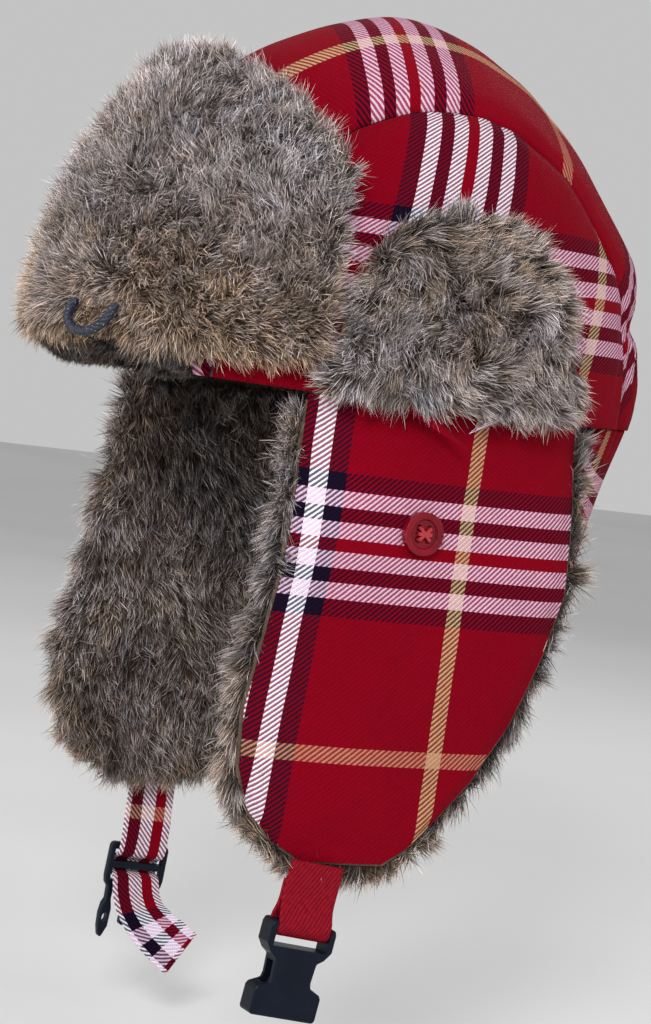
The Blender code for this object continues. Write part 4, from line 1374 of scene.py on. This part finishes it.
@dataclass
class Straps:
    """Red webbing and plaid tape, with the two halves of the buckle."""

    strap_x: float = 87 * MM
    root_z: float = -160.5 * MM
    width: float = 20 * MM
    left_y: float = -34 * MM
    left_lean: float = math.radians(8)
    right_y: float = -17 * MM
    right_lean: float = math.radians(4)
    socket_bar_z: float = -180 * MM
    socket_bar_d: float = 3.2 * MM
    webbing_t: float = 1.5 * MM
    plug_bar_z: float = -200 * MM
    plug_t: float = 3.2 * MM
    tape_t: float = 1.2 * MM

    def lean(self, y: float, angle: float) -> Matrix:
        """Rotation about the X axis through a strap's root."""
        root = Vector((0, y, self.root_z))
        return Matrix.Translation(root) @ Matrix.Rotation(-angle, 4, "X") @ Matrix.Translation(-root)

    def webbing(self) -> bpy.types.Object:
        """Webbing that goes round the socket's bar and back up."""
        y, bar_z, root = self.left_y, self.socket_bar_z, self.root_z
        wrap = self.socket_bar_d / math.sqrt(2) + 0.4 * MM + self.webbing_t / 2
        close = self.webbing_t / 2 + 0.2 * MM
        path = [(close, root + 3 * MM), (close, root - 5 * MM), (close, bar_z + 9 * MM),
                (close + 0.5 * MM, bar_z + 6 * MM), (wrap, bar_z + 2 * MM)]
        for i in range(13):
            t = math.pi * i / 12
            path.append((wrap * math.cos(t), bar_z - wrap * math.sin(t)))
        path += [(-wrap, bar_z + 2 * MM), (-close - 0.5 * MM, bar_z + 6 * MM), (-close, bar_z + 9 * MM),
                 (-close, root - 4 * MM)]
        stations = [(Vector((self.strap_x + x, y, z)), Vector((0, 1, 0))) for x, z in path]
        turn = self.lean(y, self.left_lean)
        return Ribbon("chin_webbing", self.width, self.webbing_t, turn,
                      "ear_flap_shell_left").build(stations)

    def tape(self) -> bpy.types.Object:
        """Plaid tape woven through the plug's bars, with its curled tail."""
        y, bar_z, root = self.right_y, self.plug_bar_z, self.root_z
        out = self.plug_t / 2 + 1.1 * MM + self.tape_t / 2
        weave = [(out * 0.7, 19), (out, 11), (out, 6.6), (out * 0.75, 4.6), (0, 3.6), (-out * 0.75, 2.6),
                 (-out, 0.9), (-out, -0.9), (-out * 0.75, -2.6), (0, -3.6), (out * 0.75, -4.6), (out, -6.6)]
        tail = [(out + 1 * MM, -11, 0.8, 4), (out + 2.4 * MM, -16, 3, 14), (out + 4.4 * MM, -20.5, 7, 28),
                (out + 6.6 * MM, -24.5, 12, 42), (out + 8 * MM, -28, 17, 53), (out + 8.6 * MM, -31, 22, 60)]
        path = [(0.0, root + 3 * MM, 0.0, 0.0), (0.0, root - 8 * MM, 0.0, 0.0)]
        path += [(x, bar_z + dz * MM, 0.0, 0.0) for x, dz in weave]
        path += [(x, bar_z + dz * MM, dy, roll) for x, dz, dy, roll in tail]
        stations = []
        for x, z, dy, roll in path:
            roll = math.radians(roll)
            stations.append((Vector((-self.strap_x + x, y + dy * MM, z)),
                             Vector((0, math.cos(roll), math.sin(roll)))))
        turn = self.lean(y, self.right_lean)
        ribbon = Ribbon("chin_tape", self.width, self.tape_t, turn, "ear_flap_shell_right")
        return ribbon.build(stations, -4.5 * MM, -92 * MM)

    def build(self, mats: dict[str, bpy.types.Material]) -> None:
        """Model the straps and dress the buckle."""
        strap = dress(self.webbing(), mats["webbing"])
        finish_piece(strap, "strap_left", "red_webbing", "chin_strap_left")
        tape = dress(self.tape(), mats["tape"])
        finish_piece(tape, "strap_right", "plaid_twill", "chin_strap_right")
        for node in ("buckle_socket", "buckle_plug"):
            dress(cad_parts[node], mats["buckle"])


@dataclass
class BrimLoop:
    """Braided cord loop sewn at the brim's fold."""

    lon: float = math.radians(19)
    half_turn: float = math.radians(5.2)
    off: float = 21.6 * MM
    top_z: float = 20 * MM
    low_z: float = 9.5 * MM
    strand_d: float = 1.9 * MM
    lay: float = 0.85 * MM
    twists: float = 5.5

    def build(self, mats: dict[str, bpy.types.Material]) -> None:
        """Model the loop as three strands twisted together."""
        strands = []
        for k in range(3):
            curve = bpy.data.curves.new(f"strand_{k}", "CURVE")
            curve.dimensions = "3D"
            curve.bevel_depth = self.strand_d / 2
            curve.bevel_resolution = 3
            curve.use_fill_caps = True
            line = curve.splines.new("POLY")
            steps = 90
            line.points.add(steps)
            for i in range(steps + 1):
                t = math.pi * i / steps
                turn = 2 * math.pi * (self.twists * i / steps + k / 3)
                drop = math.sin(t) ** 0.8
                off = self.off - 4 * MM * (1 - math.sin(t)) ** 2
                lon = self.lon - self.half_turn * math.cos(t)
                flat = self.lay * math.cos(turn)
                out = off + self.lay * math.sin(turn)
                z = self.top_z - (self.top_z - self.low_z) * drop + flat * math.sin(t)
                lon += flat * math.cos(t) / (CROWN.half_length + self.off)
                line.points[i].co = (*CROWN.point(0, lon, out).xy, z, 1)
            obj = bpy.data.objects.new(f"strand_{k}", curve)
            bpy.context.scene.collection.objects.link(obj)
            strands.append(obj)
        deselect()
        for obj in strands:
            obj.select_set(True)
        bpy.context.view_layer.objects.active = strands[0]
        bpy.ops.object.convert(target="MESH")
        bpy.ops.object.join()
        loop = bpy.context.object
        loop.name = loop.data.name = "loop_cord"
        bpy.ops.object.shade_smooth()
        dress(loop, mats["cord"])
        finish_piece(loop, "front_brim", "navy_cord", "brim_loop")


# ---------------------------------------------------------------- studio


@dataclass
class Studio:
    """Pale floor, soft lights and the camera."""

    azimuth: float = 62.0
    elevation: float = 1.0
    roll: float = 8.0
    distance: float = 1.0
    scale_at_middle: float = 0.372 * MM
    long_side: float = 1024.0
    right_of_centre: float = 24.5
    above_centre: float = 120.0
    floor_z: float = -0.262

    def camera(self) -> None:
        """Add the camera."""
        az, el, roll = (math.radians(a) for a in (self.azimuth, self.elevation, self.roll))
        back = Vector((math.sin(az) * math.cos(el), -math.cos(az) * math.cos(el), math.sin(el)))
        right = Vector((math.cos(az), math.sin(az), 0))
        up = back.cross(right)
        tilted_up = up * math.cos(roll) - right * math.sin(roll)
        tilted_right = right * math.cos(roll) + up * math.sin(roll)
        data = bpy.data.cameras.new("camera")
        data.sensor_width = 36
        data.lens = data.sensor_width * self.distance / (self.scale_at_middle * self.long_side)
        data.clip_start = 0.05
        data.shift_x = -self.right_of_centre / self.long_side
        data.shift_y = -self.above_centre / self.long_side
        cam = bpy.data.objects.new("camera", data)
        turn = Matrix((tilted_right, tilted_up, back)).transposed().to_4x4()
        turn.translation = back * self.distance
        cam.matrix_world = turn
        bpy.context.scene.collection.objects.link(cam)
        bpy.context.scene.camera = cam

    def light(self, name: str, spot: Sequence[float], size: float, power: float,
              warmth: Rgb = (1, 1, 1)) -> None:
        """Add a square area light aimed at the hat."""
        data = bpy.data.lights.new(name, "AREA")
        data.energy = power
        data.size = size
        data.color = warmth
        lamp = bpy.data.objects.new(name, data)
        lamp.location = spot
        lamp.rotation_euler = (Vector((0, 0, -0.04)) - Vector(spot)).to_track_quat("-Z", "Y").to_euler()
        bpy.context.scene.collection.objects.link(lamp)

    def build(self) -> None:
        """Set up the whole studio."""
        deselect()
        bpy.ops.mesh.primitive_plane_add(size=8, location=(0, 0, self.floor_z))
        floor = bpy.context.object
        floor.name = "floor"
        made, board, shader = blank("studio_floor")
        tone = board.ramp(board.noise(board.place(), 3, 2),
                          [(0.3, (0.62, 0.62, 0.62)), (0.7, (0.66, 0.66, 0.66))])
        board.feed(shader, "Base Color", tone)
        shader.inputs["Roughness"].default_value = 0.9
        dress(floor, made)
        self.camera()
        self.light("key", (1.15, -0.85, 0.62), 0.35, 17)
        self.light("side", (1.3, 0.35, 0.5), 0.8, 7)
        self.light("fill", (0.1, -1.35, 0.25), 0.9, 9)
        self.light("back", (-0.8, 0.9, 0.9), 0.9, 6)
        bpy.context.scene.view_settings.view_transform = "Standard"
        world = bpy.data.worlds.new("studio")
        world.use_nodes = True
        world.node_tree.nodes["Background"].inputs[0].default_value = (1, 1, 1, 1)
        world.node_tree.nodes["Background"].inputs[1].default_value = 0.55
        bpy.context.scene.world = world


def materials() -> dict[str, bpy.types.Material]:
    """Make every finish once.

    Returns:
        Materials by the name the sub-assemblies use.
    """
    crown, flap = Crown(), EarFlap(Side.LEFT)
    return {
        "side_cloth": TartanCloth("side_panel_tartan", (crown.stripe_y, crown.stripe_z)).make(),
        "gore_cloth": TartanCloth(
            "gore_tartan", (crown.gore_tan_x - TartanSett().half, crown.gore_stripe_y)).make(),
        "flap_cloth": TartanCloth("flap_tartan", (flap.stripe_y, flap.stripe_z)).make(),
        "neck_cloth": TartanCloth("neck_tartan", (0.0, 20 * MM)).make(),
        "tape": TartanCloth("tape_tartan", (0.0, 0.0)).make(),
        # The fur copies carry painted light and shade: the brim is lit fullest, the ear covers and inner
        # flap fur are darker, the fold nearly black.
        "brim_fur": FurPile(
            "brim_pile", grey_share=0.58, warm_low=0.6, low_z=5 * MM, painted_light_level=1.02).make(),
        "cover_fur": FurPile("cover_pile", grey_share=0.5, painted_light_level=0.85).make(),
        "flap_fur": FurPile(
            "flap_pile", grey_share=0.52, warm_low=0.3, low_z=-175 * MM, painted_light_level=0.9).make(),
        # painted shade: the fold's hair and ground are near black for the shadow under the brim
        "shade_fur": FurPile("fold_pile_painted_shade", grey_share=0.4, painted_light_level=0.2).make(),
        "shade_hide": FurHide("fold_ground_painted_shade", (0.006, 0.004, 0.003), (0.03, 0.02, 0.013)).make(),
        "hide": FurHide("fur_ground").make(),
        "satin": Satin("lining_satin_navy").make(),
        "elastic": Thread("elastic_ribs", (0.6, 0.6, 0.58), (0.85, 0.85, 0.8)).make(),
        "webbing": Webbing("red_webbing_weave").make(),
        "buckle": MouldedPlastic("buckle_black").make(),
        "button": ButtonResin("button_red").make(),
        "thread": Thread("button_thread_red", (0.28, 0.006, 0.012), (0.5, 0.1, 0.1)).make(),
        "cord": Thread("loop_cord_navy", (0.004, 0.006, 0.018), (0.30, 0.36, 0.48), 1300).make(),
    }


def main() -> None:
    """Build the hat and the studio."""
    logging.basicConfig(level=logging.INFO, format="%(name)s: %(message)s")
    mats = materials()
    Studio().build()
    Crown().build(mats)
    NeckFlap().build(mats)
    Brim().build(mats)
    for side in Side:
        EarFlap(side).build(mats)
        EarCover(side).build(mats)
        for node, mat in ((f"ear_button_{side.label}", "button"), (f"button_thread_{side.label}", "thread")):
            dress(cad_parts[node], mats[mat])
    BrimLoop().build(mats)
    Straps().build(mats)


if __name__ == "__main__":
    main()
